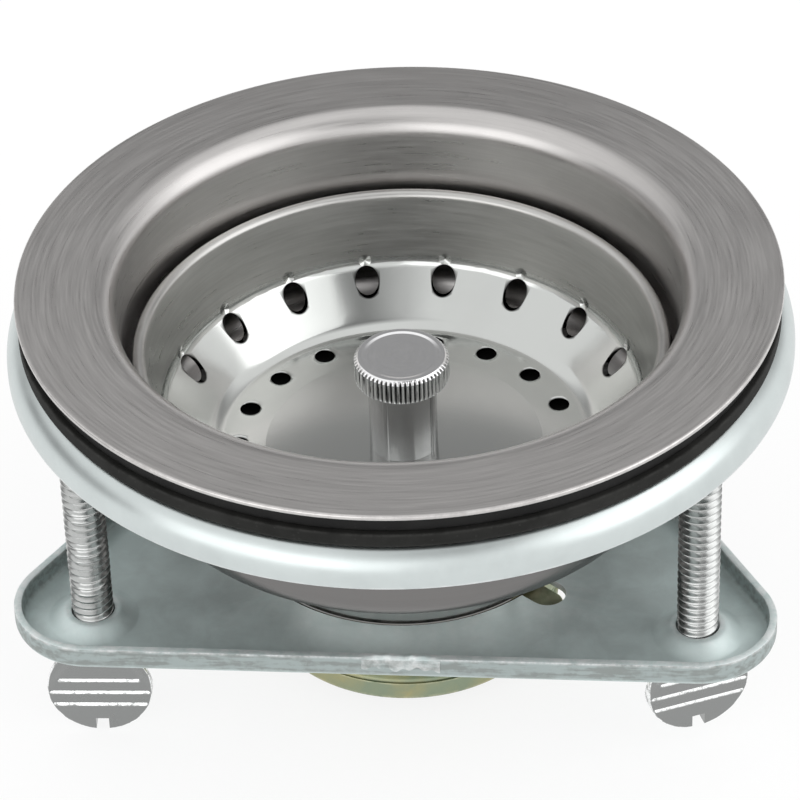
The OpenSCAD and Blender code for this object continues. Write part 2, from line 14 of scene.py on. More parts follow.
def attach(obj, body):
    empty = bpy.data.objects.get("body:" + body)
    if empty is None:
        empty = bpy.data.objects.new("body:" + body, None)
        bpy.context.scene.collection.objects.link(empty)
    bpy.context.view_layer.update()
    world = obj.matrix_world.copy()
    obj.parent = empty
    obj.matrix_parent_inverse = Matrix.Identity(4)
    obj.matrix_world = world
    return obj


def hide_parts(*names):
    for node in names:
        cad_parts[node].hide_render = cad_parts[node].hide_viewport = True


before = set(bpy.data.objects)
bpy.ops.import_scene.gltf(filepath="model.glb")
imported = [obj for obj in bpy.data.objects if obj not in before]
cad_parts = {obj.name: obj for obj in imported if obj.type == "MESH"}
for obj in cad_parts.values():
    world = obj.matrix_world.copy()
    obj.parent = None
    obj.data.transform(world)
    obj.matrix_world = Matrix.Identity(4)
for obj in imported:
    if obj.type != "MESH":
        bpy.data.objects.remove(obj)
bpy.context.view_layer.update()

log = logging.getLogger("strainer")

MM = 0.001
TURN = 2 * math.pi
TINY = 1e-6
NEARLY_STRAIGHT = math.radians(172)  # wider corners of a profile stay as they are
SIDE_SHARE = 0.45  # the most that a rounded corner takes of the side next to it
SHARP = math.radians(38)  # edges that turn by more shade as edges
ROUND_STEPS = 3  # steps in each rounded corner of a profile
GUARD = 0.25  # millimetres from a rounded corner to the plain station beside it
ROUNDING = 1e-9  # what a sum of lengths may miss by
FINE_WELD = 2e-7  # metres within which a grown mesh's vertices become one
CELL_WELD = 2e-6  # the same, where the cells of a pattern meet

# Sizes that pieces share, in millimetres and degrees
SCREW_CIRCLE = 52.5
LUG_ANGLE = -38.6
STEM_HOLE_R = 2.45
BASKET_FLOOR = -31.141

Point = tuple[float, float]
Station = tuple[float, float, float]  # radius, height, and 1 where the profile rounds an edge
Corner = tuple[float, ...]  # radius, height, and the radius that the corner is broken to, if it is


# Profiles, in millimetres in the half-plane of a turned piece

def part_way(a: Point, b: Point, share: float) -> Point:
    """Gives the point at a share of the way from one point to another."""
    return a[0] + (b[0] - a[0]) * share, a[1] + (b[1] - a[1]) * share


def spread(first: float, last: float, steps: int) -> list[float]:
    """Gives evenly spaced values, with both ends."""
    return [first + (last - first) * i / steps for i in range(steps + 1)]


@dataclass(frozen=True)
class Bend:
    """One bend of a drawn sheet. A negative radius bends the other way."""

    r: float
    z: float
    radius: float

    def at(self, degrees: float, sheet: float = 0.0) -> Point:
        """Gives the point of a skin at an angle of its outward normal.

        Args:
            degrees: The outward normal's angle.
            sheet: How far the skin lies outside the wetted one.

        Returns:
            Radius and height.
        """
        a = math.radians(degrees)
        q = self.radius + sheet
        return self.r + q * math.cos(a), self.z + q * math.sin(a)


def wall_normal(a: Bend, b: Bend) -> float:
    """Finds the outward normal on the straight wall that touches two bends.

    Args:
        a: The bend that the wall leaves.
        b: The bend that it reaches.

    Returns:
        The normal's angle in degrees.
    """
    dr, dz = b.r - a.r, b.z - a.z
    return math.degrees(
        math.atan2(dz, dr) + math.acos((a.radius - b.radius) / math.hypot(dr, dz))
    )


def skin(
    bends: Sequence[tuple[Bend, float, float]], sheet: float = 0.0, steps: int = 12
) -> list[Station]:
    """Runs one skin of a drawn sheet over its bends.

    Args:
        bends: Each bend with its first and last normal.
        sheet: How far the skin lies outside the wetted one.
        steps: Steps in each bend.

    Returns:
        The skin's stations in order.
    """
    out: list[Station] = []
    for bend, first, last in bends:
        out += [(*bend.at(a, sheet), 0.0) for a in spread(first, last, steps)]
    return out


def trace(corners: Sequence[Corner]) -> list[Station]:
    """Rounds a closed profile's corners and marks where it did.

    Args:
        corners: The profile's corners in order.

    Returns:
        The profile's stations in order.
    """
    out: list[Station] = []
    points = [Vector(c[:2]) for c in corners]
    for i, (here, corner) in enumerate(zip(points, corners)):
        before, after = points[i - 1] - here, points[(i + 1) % len(points)] - here
        fillet = corner[2] if len(corner) > 2 else 0.0
        plain = (corner[0], corner[1], 0.0)
        if fillet <= 0 or min(before.length, after.length) < TINY:
            out.append(plain)
            continue
        a, b = before.normalized(), after.normalized()
        angle = a.angle(b)
        if angle > NEARLY_STRAIGHT:
            out.append(plain)
            continue
        reach = min(fillet / math.tan(angle / 2), before.length * SIDE_SHARE, after.length * SIDE_SHARE)
        radius = reach * math.tan(angle / 2)
        middle = here + (a + b).normalized() * (radius / math.sin(angle / 2))
        start, end = here + a * reach, here + b * reach
        if before.length > 2 * reach + 2 * GUARD:
            p = start + a * GUARD
            out.append((p.x, p.y, 0.0))
        one, two = start - middle, end - middle
        swing = one.angle_signed(two)
        for k in range(ROUND_STEPS + 1):
            t = swing * k / ROUND_STEPS
            p = middle + Vector((
                one.x * math.cos(t) + one.y * math.sin(t),
                one.y * math.cos(t) - one.x * math.sin(t),
            ))
            out.append((p.x, p.y, 1.0 if 0 < k < ROUND_STEPS else 0.5))
        if after.length > 2 * reach + 2 * GUARD:
            p = end + b * GUARD
            out.append((p.x, p.y, 0.0))
    return out


# Meshes

@dataclass
class Shell:
    """Vertices in millimetres, faces, and each vertex's edge mark: how much it is a rubbed edge or a painted
    highlight, and, where negative, how much painted shade it gets at a hole's rim.
    """

    verts: list[Vector] = field(default_factory=list)
    faces: list[tuple[int, ...]] = field(default_factory=list)
    edge: list[float] = field(default_factory=list)

    def put(self, x: float, y: float, z: float, edge: float = 0.0) -> int:
        """Adds a vertex.

        Args:
            x: Its place along X.
            y: Its place along Y.
            z: Its height.
            edge: Its edge mark, for a rubbed edge or a painted highlight, and a painted shade where negative.

        Returns:
            Its number.
        """
        self.verts.append(Vector((x, y, z)))
        self.edge.append(edge)
        return len(self.verts) - 1

    def put_round(self, a: float, r: float, z: float, edge: float = 0.0) -> int:
        """Adds a vertex at an angle and a radius about the Z axis, and gives its number."""
        return self.put(r * math.cos(a), r * math.sin(a), z, edge)

    def strip(self, one: Sequence[int], two: Sequence[int], closed: bool = True) -> None:
        """Joins two rows of vertices with quads.

        Args:
            one: The first row.
            two: The second row, of the same length.
            closed: Whether the last quad returns to the rows' start.
        """
        n = len(one)
        for i in range(n if closed else n - 1):
            j = (i + 1) % n
            face = [one[i], one[j], two[j], two[i]]
            corners = [v for k, v in enumerate(face) if v != face[k - 1]]
            if len(set(corners)) >= 3:
                self.faces.append(tuple(dict.fromkeys(corners)))

    def strips(self, rows: Sequence[Sequence[int]], closed: bool = True) -> None:
        """Joins each row of vertices to the next one."""
        for one, two in zip(rows, rows[1:]):
            self.strip(one, two, closed)

    def cap(self, rows: Sequence[Sequence[int]]) -> None:
        """Closes the first and the last row with a face each."""
        self.faces += [tuple(rows[0]), tuple(rows[-1])]

    def add(self, other: "Shell") -> None:
        """Adds another shell's vertices and faces.

        Args:
            other: The shell that is added.
        """
        base = len(self.verts)
        self.verts += other.verts
        self.edge += other.edge
        self.faces += [tuple(v + base for v in f) for f in other.faces]

    def moved(self, matrix: Matrix) -> "Shell":
        """Gives a copy that a matrix has moved."""
        return Shell([matrix @ v for v in self.verts], list(self.faces), list(self.edge))

    def mesh(self, name: str, weld: float = 1e-4) -> Mesh:
        """Makes a closed Blender mesh in metres, with its faces outwards.

        Args:
            name: The mesh's name.
            weld: Vertices closer than this many millimetres become one.

        Returns:
            The mesh, with the edge amounts in its attribute named edge.
        """
        mesh = bpy.data.meshes.new(name)
        mesh.from_pydata([v * MM for v in self.verts], [], self.faces)
        layer = mesh.attributes.new("edge", "FLOAT", "POINT")
        layer.data.foreach_set("value", self.edge)
        tidy(mesh, weld * MM)
        return mesh


def tidy(mesh: Mesh, weld: float) -> None:
    """Merges a mesh's doubles, drops collapsed faces and turns the rest outwards.

    Args:
        mesh: The mesh that is changed.
        weld: Vertices closer than this many metres become one.
    """
    work = bmesh.new()
    work.from_mesh(mesh)
    bmesh.ops.remove_doubles(work, verts=work.verts, dist=weld)
    bmesh.ops.dissolve_degenerate(work, edges=work.edges, dist=weld / 4)
    bmesh.ops.recalc_face_normals(work, faces=work.faces)
    work.to_mesh(mesh)
    work.free()
    mesh.polygons.foreach_set("use_smooth", [True] * len(mesh.polygons))
    mesh.set_sharp_from_angle(angle=SHARP)
    mesh.update()


Modulation = Callable[[float, float], float]


def turned(
    loop: Sequence[Station],
    around: int = 192,
    sweep: float = TURN,
    reshape: Modulation | None = None,
) -> Shell:
    """Turns a closed profile about the Z axis.

    Args:
        loop: The profile's stations. Neighbours on the axis close it there.
        around: Steps round the sweep.
        sweep: Angle swept, a full turn unless the shell is one cell of a pattern.
        reshape: Gives a station's radius from its angle and plain radius.

    Returns:
        The shell, open at both ends of a part sweep.
    """
    shell = Shell()
    angles = spread(0.0, sweep, around)
    full = abs(sweep - TURN) < TINY
    if full:
        angles.pop()
    rows: list[list[int]] = []
    for r, z, e in loop:
        if r < TINY:
            rows.append([shell.put(0, 0, z, e)] * len(angles))
        else:
            rows.append([shell.put_round(a, reshape(a, r) if reshape else r, z, e) for a in angles])
    for k in range(len(rows)):
        if max(loop[k - 1][0], loop[k][0]) < TINY:
            continue
        shell.strip(rows[k - 1], rows[k], closed=full)
    return shell


# Node trees

class Sketch:
    """Adds nodes and links to a node tree in few words."""

    def __init__(self, tree: NodeTree) -> None:
        """Takes the tree and finds or makes its two ends.

        Args:
            tree: The tree that nodes are added to.
        """
        self.tree = tree
        if tree.bl_idname == "GeometryNodeTree" or tree.name in bpy.data.node_groups:
            self.source = tree.nodes.new("NodeGroupInput")
            self.sink = tree.nodes.new("NodeGroupOutput")

    def feed(self, port: NodeSocket, value: Any) -> None:
        """Links a value to an input, or sets it.

        Args:
            port: The input.
            value: A plain value, an output, or a node, which stands for its first output.
        """
        if isinstance(value, Node):
            value = value.outputs[0]
        if isinstance(value, NodeSocket):
            self.tree.links.new(value, port)
        else:
            port.default_value = value

    def get(self, name: str) -> NodeSocket:
        """Gives the tree's own input of that name."""
        return self.source.outputs[name]

    def give(self, name: str, value: Any) -> None:
        """Links a value to the tree's own output of that name."""
        self.feed(self.sink.inputs[name], value)

    def node(self, kind: str, inputs: dict[Any, Any] | None = None, **settings: Any) -> Node:
        """Adds a node.

        Args:
            kind: The node's type.
            inputs: What feeds its inputs, by name or number.
            **settings: Properties of the node.

        Returns:
            The node.
        """
        made = self.tree.nodes.new(kind)
        for key, value in settings.items():
            setattr(made, key, value)
        for key, value in (inputs or {}).items():
            self.feed(made.inputs[key], value)
        return made

    def math(self, operation: str, *values: Any) -> NodeSocket:
        """Adds a Math node and gives its result."""
        return self.node("ShaderNodeMath", dict(enumerate(values)), operation=operation).outputs[0]

    def plus(self, one: Any, two: Any) -> NodeSocket:
        """Adds two values."""
        return self.math("ADD", one, two)

    def minus(self, one: Any, two: Any) -> NodeSocket:
        """Takes the second value from the first."""
        return self.math("SUBTRACT", one, two)

    def times(self, one: Any, two: Any) -> NodeSocket:
        """Multiplies two values."""
        return self.math("MULTIPLY", one, two)

    def over(self, one: Any, two: Any) -> NodeSocket:
        """Divides the first value by the second."""
        return self.math("DIVIDE", one, two)

    def squares(self, one: Any, two: Any) -> NodeSocket:
        """Gives the sum of two values' squares."""
        return self.plus(self.times(one, one), self.times(two, two))

    def xyz(self, vector: Any) -> Sequence[NodeSocket]:
        """Splits a vector into its three parts."""
        return self.node("ShaderNodeSeparateXYZ", {0: vector}).outputs


class TreeSketch(Sketch):
    """Adds the nodes of a geometry node tree."""

    def __init__(self, name: str) -> None:
        """Starts an empty tree with a Geometry output.

        Args:
            name: The tree's name.
        """
        tree = bpy.data.node_groups.new(name, "GeometryNodeTree")
        tree.interface.new_socket("Geometry", in_out="OUTPUT", socket_type="NodeSocketGeometry")
        super().__init__(tree)

    def need(self, name: str, kind: str, default: Any = None) -> None:
        """Adds a named input to the tree.

        Args:
            name: Its name.
            kind: Its kind, such as Float or Int.
            default: Its value unless another is given.
        """
        socket = self.tree.interface.new_socket(name, in_out="INPUT", socket_type="NodeSocket" + kind)
        if default is not None:
            socket.default_value = default

    def close(self, geometry: Any, weld: float) -> NodeTree:
        """Realizes, welds and dresses the result, and gives the finished tree.

        Args:
            geometry: What the tree made.
            weld: Vertices closer than this many metres become one.

        Returns:
            The tree.
        """
        real = self.node("GeometryNodeRealizeInstances", {"Geometry": geometry})
        whole = self.node("GeometryNodeMergeByDistance", {"Geometry": real, "Distance": weld})
        dressed = self.node(
            "GeometryNodeSetMaterial", {"Geometry": whole, "Material": self.get("Finish")}
        )
        self.feed(self.sink.inputs[0], dressed)
        return self.tree


class Trees:
    """The geometry node trees that repeat a cell or follow a rule."""

    def __init__(self) -> None:
        """Builds each tree once."""
        self.round_axis = self._round_axis()
        self.thread = self._thread()

    @staticmethod
    def _round_axis() -> NodeTree:
        """Repeats one cell of a pattern round the Z axis, and welds the cells.

        Returns:
            The node tree.
        """
        s = TreeSketch("repeat_round_axis")
        s.need("Cell", "Object")
        s.need("Count", "Int", 6)
        s.need("First angle", "Float", 0.0)
        s.need("Finish", "Material")
        step = s.over(TURN, s.get("Count"))
        index = s.node("GeometryNodeInputIndex")
        angle = s.plus(s.times(index, step), s.get("First angle"))
        euler = s.node("ShaderNodeCombineXYZ", {"Z": angle})
        turn = s.node("FunctionNodeEulerToRotation", {0: euler})
        cell = s.node("GeometryNodeObjectInfo", {"Object": s.get("Cell")})
        points = s.node("GeometryNodePoints", {"Count": s.get("Count")})
        copies = s.node("GeometryNodeInstanceOnPoints", {
            "Points": points, "Instance": cell.outputs["Geometry"], "Rotation": turn,
        })
        return s.close(copies, CELL_WELD)

    @staticmethod
    def _thread() -> NodeTree:
        """Wraps a grid into a right-hand thread, closed at both ends.

        Returns:
            The node tree.
        """
        s = TreeSketch("helical_thread")
        for name, default in (
            ("Core radius", 0.0025), ("Crest radius", 0.003), ("Inner radius", 0.0), ("Pitch", 0.00127),
            ("Low", 0.0), ("High", 0.01), ("Runout", 0.0012), ("Crest flat", 0.12),
        ):
            s.need(name, "Float", default)
        s.need("Steps a turn", "Int", 8)
        s.need("Steps round", "Int", 40)
        s.need("Finish", "Material")
        low, high, pitch, core = (s.get(name) for name in ("Low", "High", "Pitch", "Core radius"))
        crest_flat, runout, steps_round = (s.get(name) for name in ("Crest flat", "Runout", "Steps round"))
        length = s.minus(high, low)
        turns = s.math("CEIL", s.plus(s.over(length, pitch), 1.0))
        rows = s.times(turns, s.get("Steps a turn"))
        across = s.plus(steps_round, 1.0)
        grid = s.node("GeometryNodeMeshGrid", {
            "Size X": 1.0, "Size Y": 1.0, "Vertices X": s.plus(rows, 2.0), "Vertices Y": across,
        })
        index = s.node("GeometryNodeInputIndex")
        row = s.math("FLOOR", s.over(s.plus(index, 0.5), across))
        column = s.minus(index, s.times(row, across))
        returns = s.math("GREATER_THAN", row, s.plus(rows, 0.5))
        row = s.times(row, s.minus(1.0, returns))
        round_share = s.over(column, steps_round)
        step_h = s.over(s.plus(length, pitch), rows)
        raw = s.plus(s.times(row, step_h), s.times(round_share, pitch))
        raw = s.plus(s.minus(raw, pitch), low)
        height = s.math("MINIMUM", s.math("MAXIMUM", raw, low), high)
        lead = s.over(s.times(row, step_h), pitch)
        wave = s.math("ABSOLUTE", s.minus(s.times(s.math("FRACT", lead), 2.0), 1.0))
        flank = s.node("ShaderNodeMapRange", {
            "Value": wave, 1: crest_flat, 2: s.minus(1.0, crest_flat),
            3: 1.0, 4: 0.0,
        })
        up = s.over(s.minus(raw, low), runout)
        down = s.over(s.minus(high, raw), runout)
        fade = s.node("ShaderNodeClamp", {"Value": s.math("MINIMUM", up, down)})
        depth = s.minus(s.get("Crest radius"), core)
        radius = s.plus(core, s.times(depth, s.times(flank, fade)))
        first = s.math("LESS_THAN", row, 0.5)
        last = s.math("GREATER_THAN", row, s.minus(rows, 0.5))
        end = s.math("MAXIMUM", first, last)
        drop = s.times(end, s.minus(radius, s.get("Inner radius")))
        radius = s.minus(radius, drop)
        angle = s.times(round_share, TURN)
        place = s.node("ShaderNodeCombineXYZ", {
            "X": s.times(radius, s.math("COSINE", angle)),
            "Y": s.times(radius, s.math("SINE", angle)),
            "Z": height,
        })
        wrapped = s.node("GeometryNodeSetPosition", {
            "Geometry": grid, "Position": place,
        })
        return s.close(wrapped, FINE_WELD)


def stand(name: str, data: Any) -> Object:
    """Puts a new object into the scene.

    Args:
        name: Its name.
        data: Its mesh, lamp or camera.

    Returns:
        The object.
    """
    thing = bpy.data.objects.new(name, data)
    bpy.context.scene.collection.objects.link(thing)
    return thing


def grown(name: str, tree: NodeTree, values: dict[str, Any]) -> Mesh:
    """Runs a geometry node tree and keeps its result as a plain mesh.

    Args:
        name: The mesh's name.
        tree: The tree.
        values: The tree's inputs by name.

    Returns:
        The plain mesh.
    """
    host = stand(name + "_host", bpy.data.meshes.new(name + "_host"))
    modifier = host.modifiers.new("grow", "NODES")
    modifier.node_group = tree
    for item in tree.interface.items_tree:
        if item.item_type == "SOCKET" and item.in_out == "INPUT" and item.name in values:
            modifier[item.identifier] = values[item.name]
    view = bpy.context.evaluated_depsgraph_get()
    view.update()
    mesh = bpy.data.meshes.new_from_object(host.evaluated_get(view))
    host.modifiers.remove(modifier)
    bpy.data.objects.remove(host)
    mesh.name = name
    tidy(mesh, FINE_WELD)
    return mesh


# Shader node groups and finishes

Colour = tuple[float, float, float]
UNEVEN = (0.35, 0.65, -0.5, 0.5)  # spreads the middle of a noise to half a unit up and down


class ShaderSketch(Sketch):
    """Adds the nodes of a material or of a shader node group."""

    def own(self, kind: str) -> Node:
        """Gives the node of a type that the tree already has."""
        return next(n for n in self.tree.nodes if n.type == kind)

    def port(self, name: str) -> NodeSocket:
        """Gives an input of the material's own shader."""
        return self.own("BSDF_PRINCIPLED").inputs[name]

    def bump(self, height: Any, depth_mm: float) -> None:
        """Raises the material's surface by a height value.

        Args:
            height: The value that raises it.
            depth_mm: How high a value of 1 stands, in millimetres.
        """
        made = self.node("ShaderNodeBump", {"Height": height, "Distance": depth_mm * MM})
        for link in list(self.port("Normal").links):
            self.feed(made.inputs["Normal"], link.from_socket)
        self.feed(self.port("Normal"), made)

    def place(self) -> NodeSocket:
        """Gives the place on the object, in metres."""
        return self.node("ShaderNodeTexCoord").outputs["Object"]

    def mix(self, share: Any, one: Any, two: Any) -> NodeSocket:
        """Mixes two colours.

        Args:
            share: Share of the second colour.
            one: The first colour.
            two: The second colour.

        Returns:
            The mixed colour.
        """
        one, two = ((*c, 1.0) if isinstance(c, tuple) else c for c in (one, two))
        made = self.node("ShaderNodeMix", {0: share, 6: one, 7: two}, data_type="RGBA")
        return made.outputs[2]

    def span(
        self, value: Any, low: float, high: float, first: float = 0.0, last: float = 1.0
    ) -> NodeSocket:
        """Maps a value from low..high to first..last, held at both ends."""
        return self.node("ShaderNodeMapRange", {0: value, 1: low, 2: high, 3: first, 4: last}).outputs[0]

    def effect(self, tree: NodeTree, **values: Any) -> Node:
        """Places a shared effect with its own values.

        Args:
            tree: The effect's node group.
            **values: Its inputs, with underscores for spaces.

        Returns:
            The group node.
        """
        made = self.tree.nodes.new("ShaderNodeGroup")
        made.node_tree = tree
        for key, value in values.items():
            self.feed(made.inputs[key.replace("_", " ")], value)
        return made


def effect_tree(name: str, needs: dict[str, float], gives: Sequence[str]) -> ShaderSketch:
    """Starts a shader node group with named inputs and outputs.

    Args:
        name: The group's name.
        needs: Its inputs with their defaults.
        gives: Its outputs.

    Returns:
        The sketch that the group's nodes are added to.
    """
    tree = bpy.data.node_groups.new(name, "ShaderNodeTree")
    for key, value in needs.items():
        tree.interface.new_socket(key, in_out="INPUT", socket_type="NodeSocketFloat").default_value = value
    for key in gives:
        tree.interface.new_socket(key, in_out="OUTPUT", socket_type="NodeSocketFloat")
    return ShaderSketch(tree)


class Effects:
    """The shared effects: turned and rolled grain, rubbed edges with painted edge highlights and shade, smudges,
    specks and dimples.
    """

    def __init__(self) -> None:
        """Builds each node group once."""
        self.turned_grain = self._turned_grain()
        self.rolled_grain = self._rolled_grain()
        self.edge_wear_and_painted_light = self._edge_wear_and_painted_light()
        self.smudges = self._smudges()
        self.specks = self._specks()
        self.dimples = self._dimples()

    @staticmethod
    def _turned_grain() -> NodeTree:
        """Fine and broad lines that run round the Z axis.

        Returns:
            The node tree.
        """
        s = effect_tree("turned_grain", {"Lines": 2500.0, "Breaks": 5.0}, ("Fine", "Broad"))
        x, y, z = s.xyz(s.place())
        r = s.math("SQRT", s.squares(x, y))
        safe = s.math("MAXIMUM", r, 0.0001)
        cx, cy = s.over(x, safe), s.over(y, safe)
        for name, share, detail in (("Fine", 1.0, 3.0), ("Broad", 0.12, 2.0)):
            lines = s.times(s.get("Lines"), share)
            breaks = s.times(s.get("Breaks"), share)
            place = s.node("ShaderNodeCombineXYZ", {
                "X": s.times(r, lines),
                "Y": s.times(z, lines),
                "Z": s.times(cx, breaks),
            })
            noise = s.node("ShaderNodeTexNoise", {
                "Vector": place, "W": s.times(cy, breaks),
                "Scale": 1.0, "Detail": detail, "Roughness": 0.65,
            }, noise_dimensions="4D")
            s.give(name, noise)
        return s.tree

    @staticmethod
    def _rolled_grain() -> NodeTree:
        """Fine lines that run along X, as a mill leaves them on sheet, with a broad mottle.

        Returns:
            The node tree.
        """
        needs = {"Lines": 2500.0, "Stretch": 0.04, "Mottle": 220.0}
        s = effect_tree("rolled_grain", needs, ("Fine", "Mottled"))
        place = s.place()
        x, y, z = s.xyz(place)
        drawn = s.node("ShaderNodeCombineXYZ", {"X": s.times(x, s.get("Stretch")), "Y": y, "Z": z})
        fine = s.node("ShaderNodeTexNoise", {
            "Vector": drawn, "Scale": s.get("Lines"), "Detail": 2.0, "Roughness": 0.6,
        })
        mottle = s.node("ShaderNodeTexNoise", {
            "Vector": place, "Scale": s.get("Mottle"), "Detail": 4.0, "Roughness": 0.6, "Distortion": 0.3,
        })
        s.give("Fine", fine)
        s.give("Mottled", mottle)
        return s.tree

    @staticmethod
    def _edge_wear_and_painted_light() -> NodeTree:
        """A broken mask along the rounded edges that the mesh marks, which rubbed edges and painted highlights
        use, and a mask of painted shade where the mark is negative, at holes' rims.

        Returns:
            The node tree.
        """
        s = effect_tree("edge_wear_and_painted_light", {"Amount": 0.6, "Breaks": 700.0}, ("Mask", "Hidden"))
        edge = s.node("ShaderNodeAttribute", attribute_name="edge").outputs["Fac"]
        noise = s.node("ShaderNodeTexNoise", {
            "Vector": s.place(),
            "Scale": s.get("Breaks"), "Detail": 3.0, "Roughness": 0.7,
        })
        broken = s.span(noise, 0.35, 0.62)
        s.give("Mask", s.times(s.times(edge, s.get("Amount")), broken))
        # the second mask is painted shade, where the edge mark is negative
        s.give("Hidden", s.math("MAXIMUM", s.times(edge, -1.0), 0.0))
        return s.tree

    @staticmethod
    def _smudges() -> NodeTree:
        """Soft patches, such as handling and drying marks leave.

        Returns:
            The node tree.
        """
        s = effect_tree("smudges", {"Scale": 60.0, "Low": 0.5, "High": 0.7, "Seed": 0.0}, ("Mask",))
        noise = s.node("ShaderNodeTexNoise", {
            "Vector": s.place(), "W": s.get("Seed"),
            "Scale": s.get("Scale"), "Detail": 5.0, "Roughness": 0.62, "Distortion": 0.6,
        }, noise_dimensions="4D")
        s.give("Mask", s.span(noise, s.get("Low"), s.get("High")))
        return s.tree

    @staticmethod
    def _specks() -> NodeTree:
        """Small scattered specks of dust or grit.

        Returns:
            The node tree.
        """
        s = effect_tree("specks", {"Scale": 900.0, "Size": 0.16, "Share": 0.3}, ("Mask",))
        cells = s.node("ShaderNodeTexVoronoi", {
            "Vector": s.place(), "Scale": s.get("Scale"), "Randomness": 1.0,
        })
        near = s.math("LESS_THAN", cells.outputs["Distance"], s.get("Size"))
        shade = s.node("ShaderNodeSeparateColor", {0: cells.outputs["Color"]})
        picked = s.math("LESS_THAN", shade, s.get("Share"))
        s.give("Mask", s.times(near, picked))
        return s.tree

    @staticmethod
    def _dimples() -> NodeTree:
        """A row of round dents on a circle about the Z axis, lengths in metres and angles in radians.

        Returns:
            The node tree.
        """
        needs = {"Count": 18.0, "First angle": 0.0, "Height": 0.0, "Size": 0.001}
        s = effect_tree("dimples", needs, ("Depth",))
        x, y, z = s.xyz(s.place())
        r = s.math("SQRT", s.squares(x, y))
        share = s.over(s.minus(s.math("ARCTAN2", y, x), s.get("First angle")), TURN)
        near = s.minus(s.math("FRACT", s.plus(s.times(share, s.get("Count")), 0.5)), 0.5)
        across = s.times(s.over(s.times(near, TURN), s.get("Count")), r)
        up = s.minus(z, s.get("Height"))
        far = s.math("SQRT", s.squares(across, up))
        s.give("Depth", s.span(s.over(far, s.get("Size")), 0.0, 1.0, 1.0, 0.0))
        return s.tree


@dataclass(frozen=True)
class Finish:
    """What every finish of the strainer has."""

    name: str
    colour: Colour
    roughness: float

    def start(self, **sockets: Any) -> ShaderSketch:
        """Makes the material with its shader.

        Args:
            **sockets: Constants of the shader, with underscores for spaces.

        Returns:
            The material's sketch.
        """
        material = bpy.data.materials.new(self.name)
        material.use_nodes = True
        material.diffuse_color = (*self.colour, 1.0)
        s = ShaderSketch(material.node_tree)
        s.feed(s.port("Base Color"), (*self.colour, 1.0))
        s.feed(s.port("Roughness"), self.roughness)
        for key, value in sockets.items():
            s.feed(s.port(key.replace("_", " ")), value)
        return s

    def finished(self, s: ShaderSketch, colour: Any, rough: Any) -> Material:
        """Links the colour and the roughness, which every finish has.

        Args:
            s: The material's sketch.
            colour: The colour.
            rough: The roughness.

        Returns:
            The material.
        """
        s.feed(s.port("Base Color"), colour)
        s.feed(s.port("Roughness"), rough)
        return bpy.data.materials[self.name]

    def lit(self, factor: float) -> Colour:
        """Gives the finish's colour made lighter or darker."""
        return tuple(min(1.0, c * factor) for c in self.colour)


